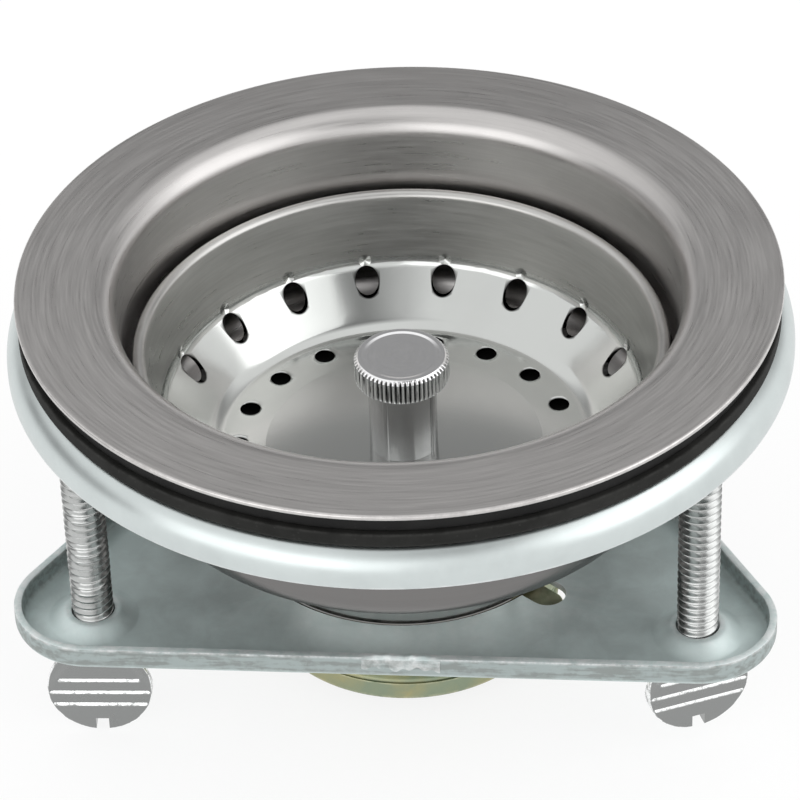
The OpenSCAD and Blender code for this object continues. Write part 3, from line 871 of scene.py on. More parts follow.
@dataclass(frozen=True)
class TurnedSteel(Finish):
    """Stainless steel brushed round the axis, and polished below a height, with painted shade on the faces that
    look down and at holes' rims.
    """

    lines: float = 2600.0
    breaks: float = 4.0
    contrast: float = 0.16
    depth_mm: float = 0.004
    anisotropy: float = 0.6
    polish_z: tuple[float, float] = (-200.0, -199.0)  # the polish fades out between these heights
    polish_roughness: float = 0.12
    polish_colour: Colour = (0.5, 0.5, 0.49)
    stains: float = 0.0
    chalk: Colour = (0.45, 0.45, 0.44)
    # tone of the painted shade on the faces that look down
    underside_shade_tone: float = 1.0
    dimples: tuple[int, float, float, float] = (0, 0.0, 0.0, 1.0)  # count, first angle, height, radius
    dimple_mm: float = 0.35
    crown: float = 0.0
    crown_mm: float = 1000.0
    crown_edge: float = 0.00045  # square of the crown's radius, in square metres
    fine_share: float = 0.85
    grain_band: tuple[float, float] = (0.38, 0.62)
    rough_swing: float = 0.12
    mark_share: float = 0.18
    mark_tone: float = 0.72
    mark_rough: float = 0.06
    edge_tone: float = 1.5
    # tone of the painted shade at holes' rims
    hole_shade_tone: float = 0.06

    def material(self, effects: Effects) -> Material:
        """Builds the material.

        Args:
            effects: The shared node groups.

        Returns:
            The material.
        """
        s = self.start(Metallic=1.0, Anisotropic=self.anisotropy)
        tangent = s.node("ShaderNodeTangent", direction_type="RADIAL", axis="Z")
        s.feed(s.port("Tangent"), tangent)
        grain = s.effect(effects.turned_grain, Lines=self.lines, Breaks=self.breaks)
        marks = s.effect(effects.smudges, Scale=38.0, Low=0.48, High=0.75, Seed=3.0)
        edge_effect = s.effect(effects.edge_wear_and_painted_light, Amount=0.5, Breaks=500.0)
        place = s.place()
        z = s.xyz(place)[2]
        matte = s.span(z, self.polish_z[0] * MM, self.polish_z[1] * MM)
        fine = s.times(grain.outputs["Fine"], self.fine_share)
        tone = s.plus(fine, s.times(grain.outputs["Broad"], 1 - self.fine_share))
        brushed = s.mix(s.span(tone, *self.grain_band), self.lit(1 - self.contrast), self.lit(1 + self.contrast))
        colour = s.mix(matte, self.polish_colour, brushed)
        colour = s.mix(s.times(marks, self.mark_share), colour, self.lit(self.mark_tone))
        # painted shade on the faces that look down
        colour = s.mix(self.outside(s, z), colour, self.lit(self.underside_shade_tone))
        colour = s.mix(edge_effect.outputs["Mask"], colour, self.lit(self.edge_tone))
        # painted shade at the holes' rims, where the edge mark is negative
        colour = s.mix(edge_effect.outputs["Hidden"], colour, self.lit(self.hole_shade_tone))
        if self.stains > 0:
            chalk = s.effect(effects.smudges, Scale=190.0, Low=0.55, High=0.68, Seed=9.0)
            here = self.patch(s, place)
            colour = s.mix(s.times(s.times(chalk, here), self.stains), colour, self.chalk)
        rough = s.plus(self.roughness, s.times(s.span(tone, *UNEVEN), self.rough_swing))
        rough = s.plus(rough, s.times(marks, self.mark_rough))
        polished = s.plus(self.polish_roughness, s.times(marks, 0.05))
        rough = s.plus(s.times(matte, rough), s.times(s.minus(1.0, matte), polished))
        s.bump(s.times(grain.outputs["Fine"], s.span(matte, 0, 1, 0.12, 1.0)), self.depth_mm)
        count, first, height, size = self.dimples
        if count:
            dents = s.effect(
                effects.dimples, Count=float(count), First_angle=math.radians(first),
                Height=height * MM, Size=size * MM,
            )
            s.bump(s.minus(1.0, dents), self.dimple_mm)
        if self.crown:
            x, y, _ = s.xyz(place)
            square = s.math("MINIMUM", s.squares(x, y), self.crown_edge)
            s.bump(s.times(square, -self.crown), self.crown_mm)
        return self.finished(s, colour, rough)

    @staticmethod
    def outside(s: ShaderSketch, z: NodeSocket) -> NodeSocket:
        """Masks the faces that look down, below the flange's edge, which get a painted shade.

        Args:
            s: The material's sketch.
            z: Height on the object.

        Returns:
            The painted shade's mask.
        """
        normal = s.node("ShaderNodeNewGeometry").outputs["Normal"]
        down = s.span(s.xyz(normal)[2], -0.05, 0.0, 1.0, 0.0)
        return s.times(down, s.span(z, -0.002, -0.001, 1.0, 0.0))

    @staticmethod
    def patch(s: ShaderSketch, place: NodeSocket) -> NodeSocket:
        """Masks the flange's rear, where water has dried.

        Args:
            s: The material's sketch.
            place: Place on the object.

        Returns:
            The mask.
        """
        x, y, _ = s.xyz(place)
        across = s.span(s.math("ABSOLUTE", s.minus(x, 0.015)), 0.008, 0.017, 1.0, 0.0)
        along = s.span(s.math("ABSOLUTE", s.minus(y, 0.0475)), 0.001, 0.0045, 1.0, 0.0)
        return s.times(across, along)


@dataclass(frozen=True)
class ZincSheet(Finish):
    """Zinc-plated steel sheet, with a mill's lines, a mottle, bright rubbed edges, and painted shade on its
    upright faces where it is scuffed.
    """

    lines: float = 1800.0
    mottle: float = 0.05
    smudged: float = 0.12
    depth_mm: float = 0.003
    edge_mark: float = 0.6
    scuffed: float = 0.0
    # tone of the painted shade on upright faces, where the sheet is scuffed
    upright_shade_tone: float = 0.55
    metallic: float = 1.0
    mark_tone: float = 0.7
    mark_rough: float = 0.04
    edge_tone: float = 1.9
    scuff: Colour = (0.17, 0.165, 0.15)

    def material(self, effects: Effects) -> Material:
        """Builds the material.

        Args:
            effects: The shared node groups.

        Returns:
            The material.
        """
        s = self.start(Metallic=self.metallic)
        grain = s.effect(effects.rolled_grain, Lines=self.lines, Stretch=0.12, Mottle=170.0)
        marks = s.effect(effects.smudges, Scale=70.0, Low=0.5, High=0.72, Seed=1.5)
        edge_effect = s.effect(effects.edge_wear_and_painted_light, Amount=self.edge_mark, Breaks=420.0)
        colour = s.mix(
            s.span(grain.outputs["Mottled"], 0.35, 0.65), self.lit(1 - self.mottle), self.lit(1 + self.mottle)
        )
        colour = s.mix(s.times(marks, self.smudged), colour, self.lit(self.mark_tone))
        if self.scuffed > 0:
            normal = s.node("ShaderNodeNewGeometry").outputs["Normal"]
            upright = s.math("ABSOLUTE", s.xyz(normal)[2])
            drawn = s.effect(effects.rolled_grain, Lines=1200.0, Stretch=0.12, Mottle=650.0)
            streaks = s.span(s.plus(drawn.outputs["Fine"], s.times(drawn.outputs["Mottled"], 0.6)), 0.72, 0.9)
            # upright faces such as the lip get painted shade
            lip = s.span(upright, 0.3, 0.8, 1.0, 0.0)
            colour = s.mix(lip, colour, self.lit(self.upright_shade_tone))
            share = s.times(s.times(streaks, lip), self.scuffed)
            colour = s.mix(share, colour, self.scuff)
        colour = s.mix(edge_effect.outputs["Mask"], colour, self.lit(self.edge_tone))
        uneven = s.span(grain.outputs["Mottled"], *UNEVEN)
        rough = s.plus(self.roughness, s.times(uneven, self.mottle))
        rough = s.plus(rough, s.times(marks, self.mark_rough))
        height = s.plus(s.times(grain.outputs["Fine"], 0.6), s.times(grain.outputs["Mottled"], 0.8))
        s.bump(height, self.depth_mm)
        return self.finished(s, colour, rough)


@dataclass(frozen=True)
class BrightPlate(Finish):
    """Bright plating over turned or rolled metal, which can paint shade in a knurl's valleys and change its tone
    below a height.
    """

    tint: Colour = (0.6, 0.6, 0.6)
    edge_mark: float = 0.5
    edge_tone: float = 1.25
    # painted shade in the knurl's valleys, between these radii and below the top
    knurl_shade: tuple[float, float, float] = (0.0, 0.0, 0.0)  # first radius, last radius and top
    knurl_shade_tone: float = 0.1
    knurl_shade_inset: float = 0.4
    stalk: tuple[float, float] = (0.0, 1.0)  # the height below which the tone changes, and the tone
    mark_rough: float = 0.1
    depth_mm: float = 0.0015

    def material(self, effects: Effects) -> Material:
        """Builds the material.

        Args:
            effects: The shared node groups.

        Returns:
            The material.
        """
        s = self.start(Metallic=1.0)
        marks = s.effect(effects.smudges, Scale=240.0, Low=0.5, High=0.7, Seed=5.0)
        grain = s.effect(effects.turned_grain, Lines=5200.0, Breaks=2.0)
        edge_effect = s.effect(effects.edge_wear_and_painted_light, Amount=self.edge_mark, Breaks=900.0)
        colour = s.mix(s.span(grain.outputs["Fine"], 0.3, 0.7), self.colour, self.tint)
        x, y, z = s.xyz(s.place())
        # darker below a height: painted shade on the post under the knob, and a darker tone on the screws' heads
        if self.stalk[0] < 0:
            colour = s.mix(s.math("LESS_THAN", z, self.stalk[0] * MM), colour, self.lit(self.stalk[1]))
        colour = s.mix(edge_effect.outputs["Mask"], colour, self.lit(self.edge_tone))
        # painted shade in the knurl's valleys
        low, high, top = self.knurl_shade
        if high > 0:
            r = s.math("SQRT", s.squares(x, y))
            deep = s.times(s.span(r, low * MM, high * MM, 1.0, 0.0), s.math("LESS_THAN", z, top * MM))
            deep = s.times(deep, s.math("GREATER_THAN", r, (low - self.knurl_shade_inset) * MM))
            colour = s.mix(deep, colour, self.lit(self.knurl_shade_tone))
        rough = s.plus(self.roughness, s.times(marks, self.mark_rough))
        s.bump(grain.outputs["Fine"], self.depth_mm)
        return self.finished(s, colour, rough)


@dataclass(frozen=True)
class CastChromate(Finish):
    """Die-cast zinc under a yellow chromate that shades to green and brown."""

    shades: tuple[Colour, Colour] = ((0.3, 0.35, 0.24), (0.46, 0.4, 0.2))
    edge_mark: Colour = (0.62, 0.6, 0.42)
    rough_swing: float = 0.12
    depth_mm: float = 0.012

    def material(self, effects: Effects) -> Material:
        """Builds the material.

        Args:
            effects: The shared node groups.

        Returns:
            The material.
        """
        s = self.start(Metallic=1.0)
        grain = s.effect(effects.rolled_grain, Lines=1500.0, Stretch=1.0, Mottle=120.0)
        clouds = s.effect(effects.smudges, Scale=95.0, Low=0.38, High=0.62, Seed=7.0)
        edge_effect = s.effect(effects.edge_wear_and_painted_light, Amount=0.7, Breaks=600.0)
        film = s.mix(clouds, *self.shades)
        colour = s.mix(s.span(grain.outputs["Mottled"], 0.35, 0.65), self.colour, film)
        colour = s.mix(edge_effect, colour, self.edge_mark)
        rough = s.plus(self.roughness, s.times(clouds, self.rough_swing))
        s.bump(s.plus(grain.outputs["Fine"], grain.outputs["Mottled"]), self.depth_mm)
        return self.finished(s, colour, rough)


@dataclass(frozen=True)
class SoftBlack(Finish):
    """Moulded rubber or pressed fibre, with grit and a dusty bloom."""

    bloom: Colour = (0.09, 0.09, 0.085)
    bloom_share: float = 0.5
    dust_share: float = 0.5
    bloom_rough: float = 0.2
    grit_mm: float = 0.02

    def material(self, effects: Effects) -> Material:
        """Builds the material.

        Args:
            effects: The shared node groups.

        Returns:
            The material.
        """
        s = self.start(Metallic=0.0, Specular_IOR_Level=0.2)
        grain = s.effect(effects.rolled_grain, Lines=2600.0, Stretch=0.7, Mottle=300.0)
        dust = s.effect(effects.specks, Scale=1500.0, Size=0.2, Share=0.25)
        cloud = s.effect(effects.smudges, Scale=110.0, Low=0.42, High=0.7, Seed=2.0)
        edge_effect = s.effect(effects.edge_wear_and_painted_light, Amount=0.8, Breaks=500.0)
        share = s.times(cloud, self.bloom_share)
        colour = s.mix(share, self.colour, self.bloom)
        colour = s.mix(s.times(dust, self.dust_share), colour, self.bloom)
        colour = s.mix(edge_effect, colour, self.bloom)
        rough = s.plus(self.roughness, s.times(share, self.bloom_rough))
        s.bump(s.plus(grain.outputs["Fine"], grain.outputs["Mottled"]), self.grit_mm)
        return self.finished(s, colour, rough)


class Slot(Enum):
    """The record's material slots."""

    BOWL = "bowl_steel"
    BASKET = "basket_steel"
    STAMPED = "stamped_steel"
    KNOB = "bright_knob"
    RING = "zinc_plated_ring"
    PLATE = "zinc_plated_plate"
    SCREW = "zinc_plated_screw"
    OUTLET = "chromated_zinc"
    STEM = "brass_stem"
    FIBRE = "grey_fibre"
    RUBBER = "black_rubber"


FINISHES: dict[Slot, Any] = {
    # the bowl's faces that look down get painted shade
    Slot.BOWL: TurnedSteel(
        "brushed_bowl", (0.565, 0.55, 0.54), 0.32, anisotropy=0.25, contrast=0.05, underside_shade_tone=0.36,
        polish_z=(-39.5, -37.5), polish_colour=(0.55, 0.54, 0.53), stains=0.5,
    ),
    Slot.BASKET: TurnedSteel(
        "drawn_basket", (0.54, 0.535, 0.52), 0.32, anisotropy=0.3, contrast=0.08, lines=1500.0, depth_mm=0.002,
        polish_z=(-23.6, -22.0), polish_colour=(0.6, 0.615, 0.6), dimples=(18, 3.6, -22.9, 1.0), crown=-1.5,
    ),
    Slot.STAMPED: ZincSheet("pressed_steel", (0.5, 0.5, 0.48), 0.28),
    Slot.KNOB: BrightPlate(
        # the knob gets painted shade in its knurl's valleys
        "polished_knob", (0.93, 0.93, 0.935), 0.1, tint=(0.86, 0.86, 0.87), knurl_shade=(6.8, 7.1, -15.2),
        # painted shade on the post below the knob
        stalk=(-19.2, 0.38),
    ),
    Slot.RING: ZincSheet("plated_ring", (0.63, 0.68, 0.675), 0.32, mottle=0.03),
    # the plate's upright faces get painted shade
    Slot.PLATE: ZincSheet("plated_plate", (0.7, 0.8, 0.79), 0.5, metallic=0.6, scuffed=0.45, mottle=0.08),
    # the heads' grooves and rims get painted highlights through their edge marks, and a darker tone below the
    # stalk's height
    Slot.SCREW: BrightPlate(
        "plated_screw", (0.47, 0.48, 0.475), 0.22, tint=(0.53, 0.54, 0.53), edge_mark=2.0, edge_tone=2.1,
        stalk=(-51.5, 0.62),
    ),
    Slot.OUTLET: CastChromate("yellow_chromate", (0.28, 0.33, 0.235), 0.35),
    Slot.STEM: BrightPlate("turned_brass", (0.52, 0.4, 0.17), 0.25, tint=(0.62, 0.5, 0.24)),
    Slot.FIBRE: SoftBlack("pressed_fibre", (0.012, 0.012, 0.011), 0.75, bloom=(0.035, 0.035, 0.033)),
    Slot.RUBBER: SoftBlack("moulded_rubber", (0.008, 0.008, 0.008), 0.6, bloom=(0.022, 0.022, 0.021)),
}


class Shop:
    """Holds what every sub-assembly needs: the trees, the effects and the dressed materials."""

    def __init__(self) -> None:
        """Builds the node groups, then each finish's material."""
        self.trees = Trees()
        self.effects = Effects()
        self.materials = {slot: finish.material(self.effects) for slot, finish in FINISHES.items()}

    def place(
        self, name: str, mesh: Mesh, body: str, nodes: Sequence[str], slot: Slot
    ) -> Object:
        """Puts a finished mesh into the scene as a piece.

        Args:
            name: The piece's name.
            mesh: Its mesh, in the shared frame.
            body: The body that it rides on.
            nodes: The CAD nodes that it stands for.
            slot: Its material slot.

        Returns:
            The piece.
        """
        mesh.materials.clear()
        mesh.materials.append(self.materials[slot])
        mesh.polygons.foreach_set("material_index", [0] * len(mesh.polygons))
        piece = stand(name, mesh)
        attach(piece, body)
        if nodes:
            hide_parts(*nodes)
        log.info("%s rides on %s, %d faces", name, body, len(mesh.polygons))
        return piece

    def dress(self, node: str, slot: Slot) -> None:
        """Gives a CAD node the material of its slot.

        Args:
            node: The node's name.
            slot: Its material slot.
        """
        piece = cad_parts[node]
        piece.data.materials.clear()
        piece.data.materials.append(self.materials[slot])
        log.info("%s keeps its solid", node)


# Sub-assemblies

def guarded(loop: Sequence[Station], reach: float = 0.35, long: float = 1.6) -> list[Station]:
    """Adds a station near each end of a profile's long straights, so that they shade flat.

    Args:
        loop: The closed profile's stations.
        reach: Distance of the added stations from the ends.
        long: Straights shorter than this stay as they are.

    Returns:
        The profile's stations in order.
    """
    out: list[Station] = []
    for k, (r, z, e) in enumerate(loop):
        out.append((r, z, e))
        q, w, _ = loop[(k + 1) % len(loop)]
        size = math.hypot(q - r, w - z)
        if size > long:
            for share in (reach / size, 1 - reach / size):
                out.append((*part_way((r, z), (q, w), share), 0.0))
    return out


@dataclass(frozen=True)
class Bowl:
    """Flange, bowl and neck, drawn from one sheet."""

    flange_r: float = 57.15
    sheet: float = 0.8
    mouth: Bend = Bend(46.3, -4.0, -4.0)
    corner: Bend = Bend(36.9, -28.0, 4.2)
    neck: Bend = Bend(27.5, -39.3, -2.3)
    lip: Bend = Bend(24.7, -45.6, 0.5)
    lip_hole_r: float = 21.15

    def bends(self) -> list[tuple[Bend, float, float]]:
        """Gives the bends from the mouth to the lip.

        Returns:
            Each bend with its first and last normal.
        """
        side = wall_normal(self.mouth, self.corner)
        cone = wall_normal(self.corner, self.neck)
        return [(self.mouth, -90, side), (self.corner, side, cone), (self.neck, cone, 0), (self.lip, 0, -90)]

    def build(self, shop: Shop) -> None:
        """Builds and dresses the bowl.

        Args:
            shop: The shared trees, effects and materials.
        """
        wet = skin(self.bends(), steps=18)
        dry = skin(self.bends(), self.sheet, steps=18)
        low = self.lip.z - self.lip.radius
        loop = trace([
            (self.flange_r, 0.0, 0.3), *wet,
            (self.lip_hole_r, low, 0.15), (self.lip_hole_r, low - self.sheet, 0.15),
            *reversed(dry), (self.flange_r, -self.sheet, 0.3),
        ])
        shell = turned(guarded(loop), around=288)
        shop.place("drain_bowl", shell.mesh("drain_bowl"), "strainer", ["strainer_body"], Slot.BOWL)


@dataclass(frozen=True)
class Seals:
    """The rubber gasket and the fibre washer under the flange."""

    # inner radius, outer radius, bottom and top
    gasket: tuple[float, float, float, float] = (46.65, 56.15, -3.4, -0.8)
    washer: tuple[float, float, float, float] = (43.45, 56.95, -5.6, -3.4)

    @staticmethod
    def _ring(sizes: tuple[float, float, float, float], fillet: float, wave: float) -> Shell:
        """Turns a flat ring, whose outer edge a soft wave moves a little.

        Args:
            sizes: Inner and outer radius, lowest and highest height.
            fillet: Radius of its rounded edges.
            wave: How far the wave reaches inwards.

        Returns:
            The ring.
        """
        inner, outer, low, high = sizes
        loop = guarded(trace([
            (inner, low, fillet), (inner, high, fillet),
            (outer, high, fillet), (outer, low, fillet),
        ]))
        middle = (inner + outer) / 2

        def soft(a: float, r: float) -> float:
            """Gives the radius at an angle."""
            swing = 0.5 + 0.5 * math.sin(3 * a + 1.0) * math.cos(7 * a + 0.4)
            return r - wave * swing if r > middle else r

        return turned(loop, around=240, reshape=soft)

    def build(self, shop: Shop) -> None:
        """Builds and dresses both rings.

        Args:
            shop: The shared trees, effects and materials.
        """
        gasket = self._ring(self.gasket, 0.4, 0.12).mesh("sink_gasket")
        washer = self._ring(self.washer, 0.25, 0.08).mesh("fibre_washer")
        shop.place("sink_gasket", gasket, "strainer", ["rim_gasket"], Slot.RUBBER)
        shop.place("fibre_washer", washer, "strainer", ["friction_washer"], Slot.FIBRE)


@dataclass(frozen=True)
class ClampRing:
    """The channel-shaped ring that the screws push up."""

    inner_r: float = 44.1
    outer_r: float = 59.0
    top: float = -5.6
    height: float = 6.0
    inner_height: float = 4.4
    sheet: float = 1.2
    shoulder: float = 4.8
    inner_edge: float = 2.0

    def build(self, shop: Shop) -> None:
        """Builds and dresses the ring.

        Args:
            shop: The shared trees, effects and materials.
        """
        inner = Bend(self.inner_r + self.inner_edge, self.top - self.inner_edge, self.inner_edge)
        outer = Bend(self.outer_r - self.shoulder, self.top - self.shoulder, self.shoulder)
        over = skin([(inner, 180, 90), (outer, 90, 0)])
        under = skin([(outer, 0, 90), (inner, 90, 180)], -self.sheet)
        low, inner_low = self.top - self.height, self.top - self.inner_height
        loop = trace([
            (self.inner_r, inner_low, 0.2), *over,
            (self.outer_r, low, 0.35), (self.outer_r - self.sheet, low, 0.35), *under,
            (self.inner_r + self.sheet, inner_low, 0.2),
        ])
        shell = turned(guarded(loop), around=288)
        shop.place("clamp_ring", shell.mesh("clamp_ring"), "ring", ["retaining_ring"], Slot.RING)


def arc(x: float, y: float, r: float, first: float, sweep: float, steps: int) -> list[Point]:
    """Gives the points of an arc, with both its ends.

    Args:
        x: Its centre along X.
        y: Its centre along Y.
        r: Its radius.
        first: Angle of its first point in degrees.
        sweep: Angle that it covers in degrees.
        steps: Steps along it.

    Returns:
        The points in order.
    """
    angles = [math.radians(first + sweep * i / steps) for i in range(steps + 1)]
    return [(x + r * math.cos(a), y + r * math.sin(a)) for a in angles]


def circle(x: float, y: float, r: float, count: int) -> list[Point]:
    """Gives the points of a circle."""
    return arc(x, y, r, 0, 360, count)[:-1]


def between(a: Point, b: Point, steps: int) -> list[Point]:
    """Gives the points inside a straight line, without its ends."""
    return [part_way(a, b, i / steps) for i in range(1, steps)]


@dataclass(frozen=True)
class Plate:
    """The three-cornered tray that the screws turn in."""

    bottom: float = -46.8
    sheet: float = 1.2
    lip: float = 4.6
    bend: float = 2.4
    corner_r: float = 11.8
    hole_r: float = 26.5
    notch_reach: float = 31.8
    notch_w: float = 5.6
    boss_r: float = 7.0
    boss_h: float = 1.6
    screw_hole_r: float = 3.2
    collar_r: float = 4.5
    around: int = 72
    side_steps: int = 26
    floor_gap: float = 0.4
    edge_soft: float = 0.18
    burr_x: tuple[float, float] = (-3.95, 7.75)
    burr_steps: int = 40
    burr_out: float = 0.14

    def centres(self) -> list[Point]:
        """Gives the three screw places.

        Returns:
            Their centres.
        """
        return [
            (SCREW_CIRCLE * math.cos(a), SCREW_CIRCLE * math.sin(a))
            for a in (math.radians(d) for d in (210, 330, 90))
        ]

    def outline(self, inset: float) -> list[Point]:
        """Gives the tray's outline, moved inwards.

        Args:
            inset: How far it is moved.

        Returns:
            The outline's points in order.
        """
        out: list[Point] = []
        for (x, y), first in zip(self.centres(), (150, 270, 30)):
            corner = arc(x, y, self.corner_r - inset, first, 120, 40)
            if out:
                out += between(out[-1], corner[0], self.side_steps)
            out += corner
        return out + between(out[-1], out[0], self.side_steps)

    def opening(self, grow: float) -> list[Point]:
        """Gives the outline of the centre hole with its three notches.

        Args:
            grow: How much larger than the hole it is, on every side.

        Returns:
            The outline's points in order.
        """
        big = self.hole_r + grow
        half = self.notch_w / 2 + grow
        middle = self.notch_reach - self.notch_w / 2
        meet = math.asin(half / big)
        root = big * math.cos(meet)
        rest = math.degrees(TURN / 3 - 2 * meet)
        local = [(root, -half), *between((root, -half), (middle, -half), 4)]
        local += arc(middle, 0, half, -90, 180, 14)
        local += [*between((middle, half), (root, half), 4), (root, half)]
        local += arc(0, 0, big, math.degrees(meet), rest, 40)[1:-1]
        out: list[Point] = []
        for k in range(3):
            turn = math.radians(LUG_ANGLE + 120 * k)
            c, w = math.cos(turn), math.sin(turn)
            out += [(x * c - y * w, x * w + y * c) for x, y in local]
        return out

    def _floor(self, shell: Shell, z: float, loops: Sequence[list[Point]]) -> None:
        """Fills the flat floor between its outline, its opening and its bosses.

        Args:
            shell: The shell that the floor is added to.
            z: Its height.
            loops: The outline, then the holes in it.
        """
        points: list[Vector] = []
        edges: list[tuple[int, int]] = []
        for loop in loops:
            first = len(points)
            points += [Vector(p) for p in loop]
            edges += [(first + i, first + (i + 1) % len(loop)) for i in range(len(loop))]
        verts, _, faces, _, _, _ = delaunay_2d_cdt(points, edges, [], 0, TINY)
        rows = [shell.put(v.x, v.y, z) for v in verts]
        holes = loops[1:]
        for face in faces:
            cx = sum(verts[i].x for i in face) / len(face)
            cy = sum(verts[i].y for i in face) / len(face)
            if inside(cx, cy, loops[0]) and not any(inside(cx, cy, hole) for hole in holes):
                shell.faces.append(tuple(rows[i] for i in face))

    def build(self, shop: Shop) -> None:
        """Builds and dresses the plate.

        Args:
            shop: The shared trees, effects and materials.
        """
        shell = Shell()
        zb, zt = self.bottom, self.bottom + self.sheet
        bend, lip, sheet = self.bend, self.lip, self.sheet
        profile = [(bend + self.floor_gap, 0.0, 0.0)]
        profile += [(inset, z, 0.0) for inset, z in arc(bend, bend, bend, -90, -90, 8)]
        profile += [
            (0, lip - 0.55, 0), (0, lip - 0.25, 0.6), (0.07, lip - 0.07, 1), (0.25, lip, 1),
            (sheet - 0.3, lip, 1), (sheet - 0.08, lip - 0.07, 1), (sheet, lip - 0.25, 0.4), (sheet, lip - 0.55, 0),
        ]
        profile += [(inset, z, 0.0) for inset, z in arc(bend, bend, bend - sheet, 180, 90, 8)]
        profile.append((bend + self.floor_gap, sheet, 0.0))
        shell.strips([
            [shell.put(x, y, zb + z, edge) for x, y in self.outline(inset)] for inset, z, edge in profile
        ])
        bosses = [circle(x, y, self.boss_r, self.around) for x, y in self.centres()]
        outer, cut = self.outline(self.bend + self.floor_gap), self.opening(0.0)
        soft = self.opening(self.edge_soft)
        for z in (zb, zt):
            self._floor(shell, z, [outer, soft, *bosses])
        shell.strips([
            [shell.put(x, y, z, e) for x, y in loop]
            for loop, z, e in (
                (soft, zb, 0.3), (self.opening(0.05), zb + 0.05, 0.8), (cut, zb + self.edge_soft, 0.8),
                (cut, zt - self.edge_soft, 0.8), (self.opening(0.05), zt - 0.05, 0.8), (soft, zt, 0.3),
            )
        ])
        for x, y in self.centres():
            shell.add(self._boss().moved(Matrix.Translation((x, y, zb))))
        shell.add(self._burr())
        mesh = shell.mesh("three_point_plate", 2e-3)
        shop.place("three_point_plate", mesh, "plate", ["mounting_plate"], Slot.PLATE)

    def _boss(self) -> Shell:
        """Turns the raised boss and its tapped collar, as one strip from below to above.

        Returns:
            The shell, with its foot at the floor.
        """
        foot, rim, hole, rise = self.boss_r, self.collar_r, self.screw_hole_r, self.boss_h
        top = self.sheet + rise
        slope = [(t, 0.5 * (t + (3 - 2 * t) * t * t)) for t in (i / 10 for i in range(11))]
        path: list[Station] = [(foot + (rim - foot) * t, rise * q, 0.0) for t, q in slope]
        path += [
            (rim, 0.15, 0.4), (rim - 0.15, 0.0, 0.9), (hole + 0.15, 0.0, 0.6), (hole, 0.15, 0.6),
            (hole, top - 0.3, 0.3), (hole + 0.08, top - 0.08, 1.0), (hole + 0.3, top, 1.0), (rim - 0.5, top, 0.7),
        ]
        path += [(rim - 0.3 + (foot - rim + 0.3) * t, top - rise * q, 0.3 * (1 - t)) for t, q in slope]
        shell = Shell()
        shell.strips([[shell.put(x, y, z, e) for x, y in circle(0, 0, r, self.around)] for r, z, e in path])
        return shell

    def _burr(self) -> Shell:
        """Builds the torn tab that the press left on the front lip.

        Returns:
            The shell.
        """
        shell = Shell()
        y = -SCREW_CIRCLE / 2 - self.corner_r + self.sheet / 2
        z = self.bottom + self.lip
        front = y - self.sheet / 2 - self.burr_out
        rows = []
        first, last = self.burr_x
        for i in range(self.burr_steps + 1):
            t = i / self.burr_steps
            x = first + (last - first) * t
            rise = 0.35 * min(1.0, 6 * t, 6 * (1 - t)) * (0.72 + 0.28 * math.sin(13 * t) * math.cos(29 * t))
            half = 0.4 * min(1.0, 0.5 + 5 * t, 0.5 + 5 * (1 - t))
            wob = 0.05 * math.sin(17 * t)
            foot = z - 2.1 - 0.5 * math.sin(11 * t) * math.sin(23 * t + 1)
            rows.append([
                shell.put(x, front + 0.06, foot, 0.5), shell.put(x, front, foot + 0.2, 0.7),
                shell.put(x, front, z - 0.25, 0.7), shell.put(x, y - half, z + rise * 0.6, 1.0),
                shell.put(x, y - half * 0.4 + wob, z + rise, 1.0),
                shell.put(x, y + half * 0.4 + wob, z + rise * 0.9, 1.0),
                shell.put(x, y + half, z + rise * 0.5, 1.0), shell.put(x, y + half, z - 0.7, 0.2),
            ])
        shell.strips(rows)
        shell.cap(rows)
        return shell


def inside(x: float, y: float, loop: Sequence[Point]) -> bool:
    """Says whether a point lies inside a closed outline.

    Args:
        x: The point along X.
        y: The point along Y.
        loop: The outline's points.

    Returns:
        Whether it is inside.
    """
    hit = False
    for i, (x1, y1) in enumerate(loop):
        x2, y2 = loop[i - 1]
        if (y1 > y) != (y2 > y) and x < (x2 - x1) * (y - y1) / (y2 - y1) + x1:
            hit = not hit
    return hit


class Corners(Enum):
    """The plate's corners: body, node, angle on the plate, turn of the head and height of its middle."""

    LEFT = ("screw_left", "thumb_screw_left", 210.0, 2.2, -59.5)
    RIGHT = ("screw_right", "thumb_screw_right", 330.0, 23.3, -55.4)
    REAR = ("screw_rear", "thumb_screw_rear", 90.0, 76.0, -57.9)


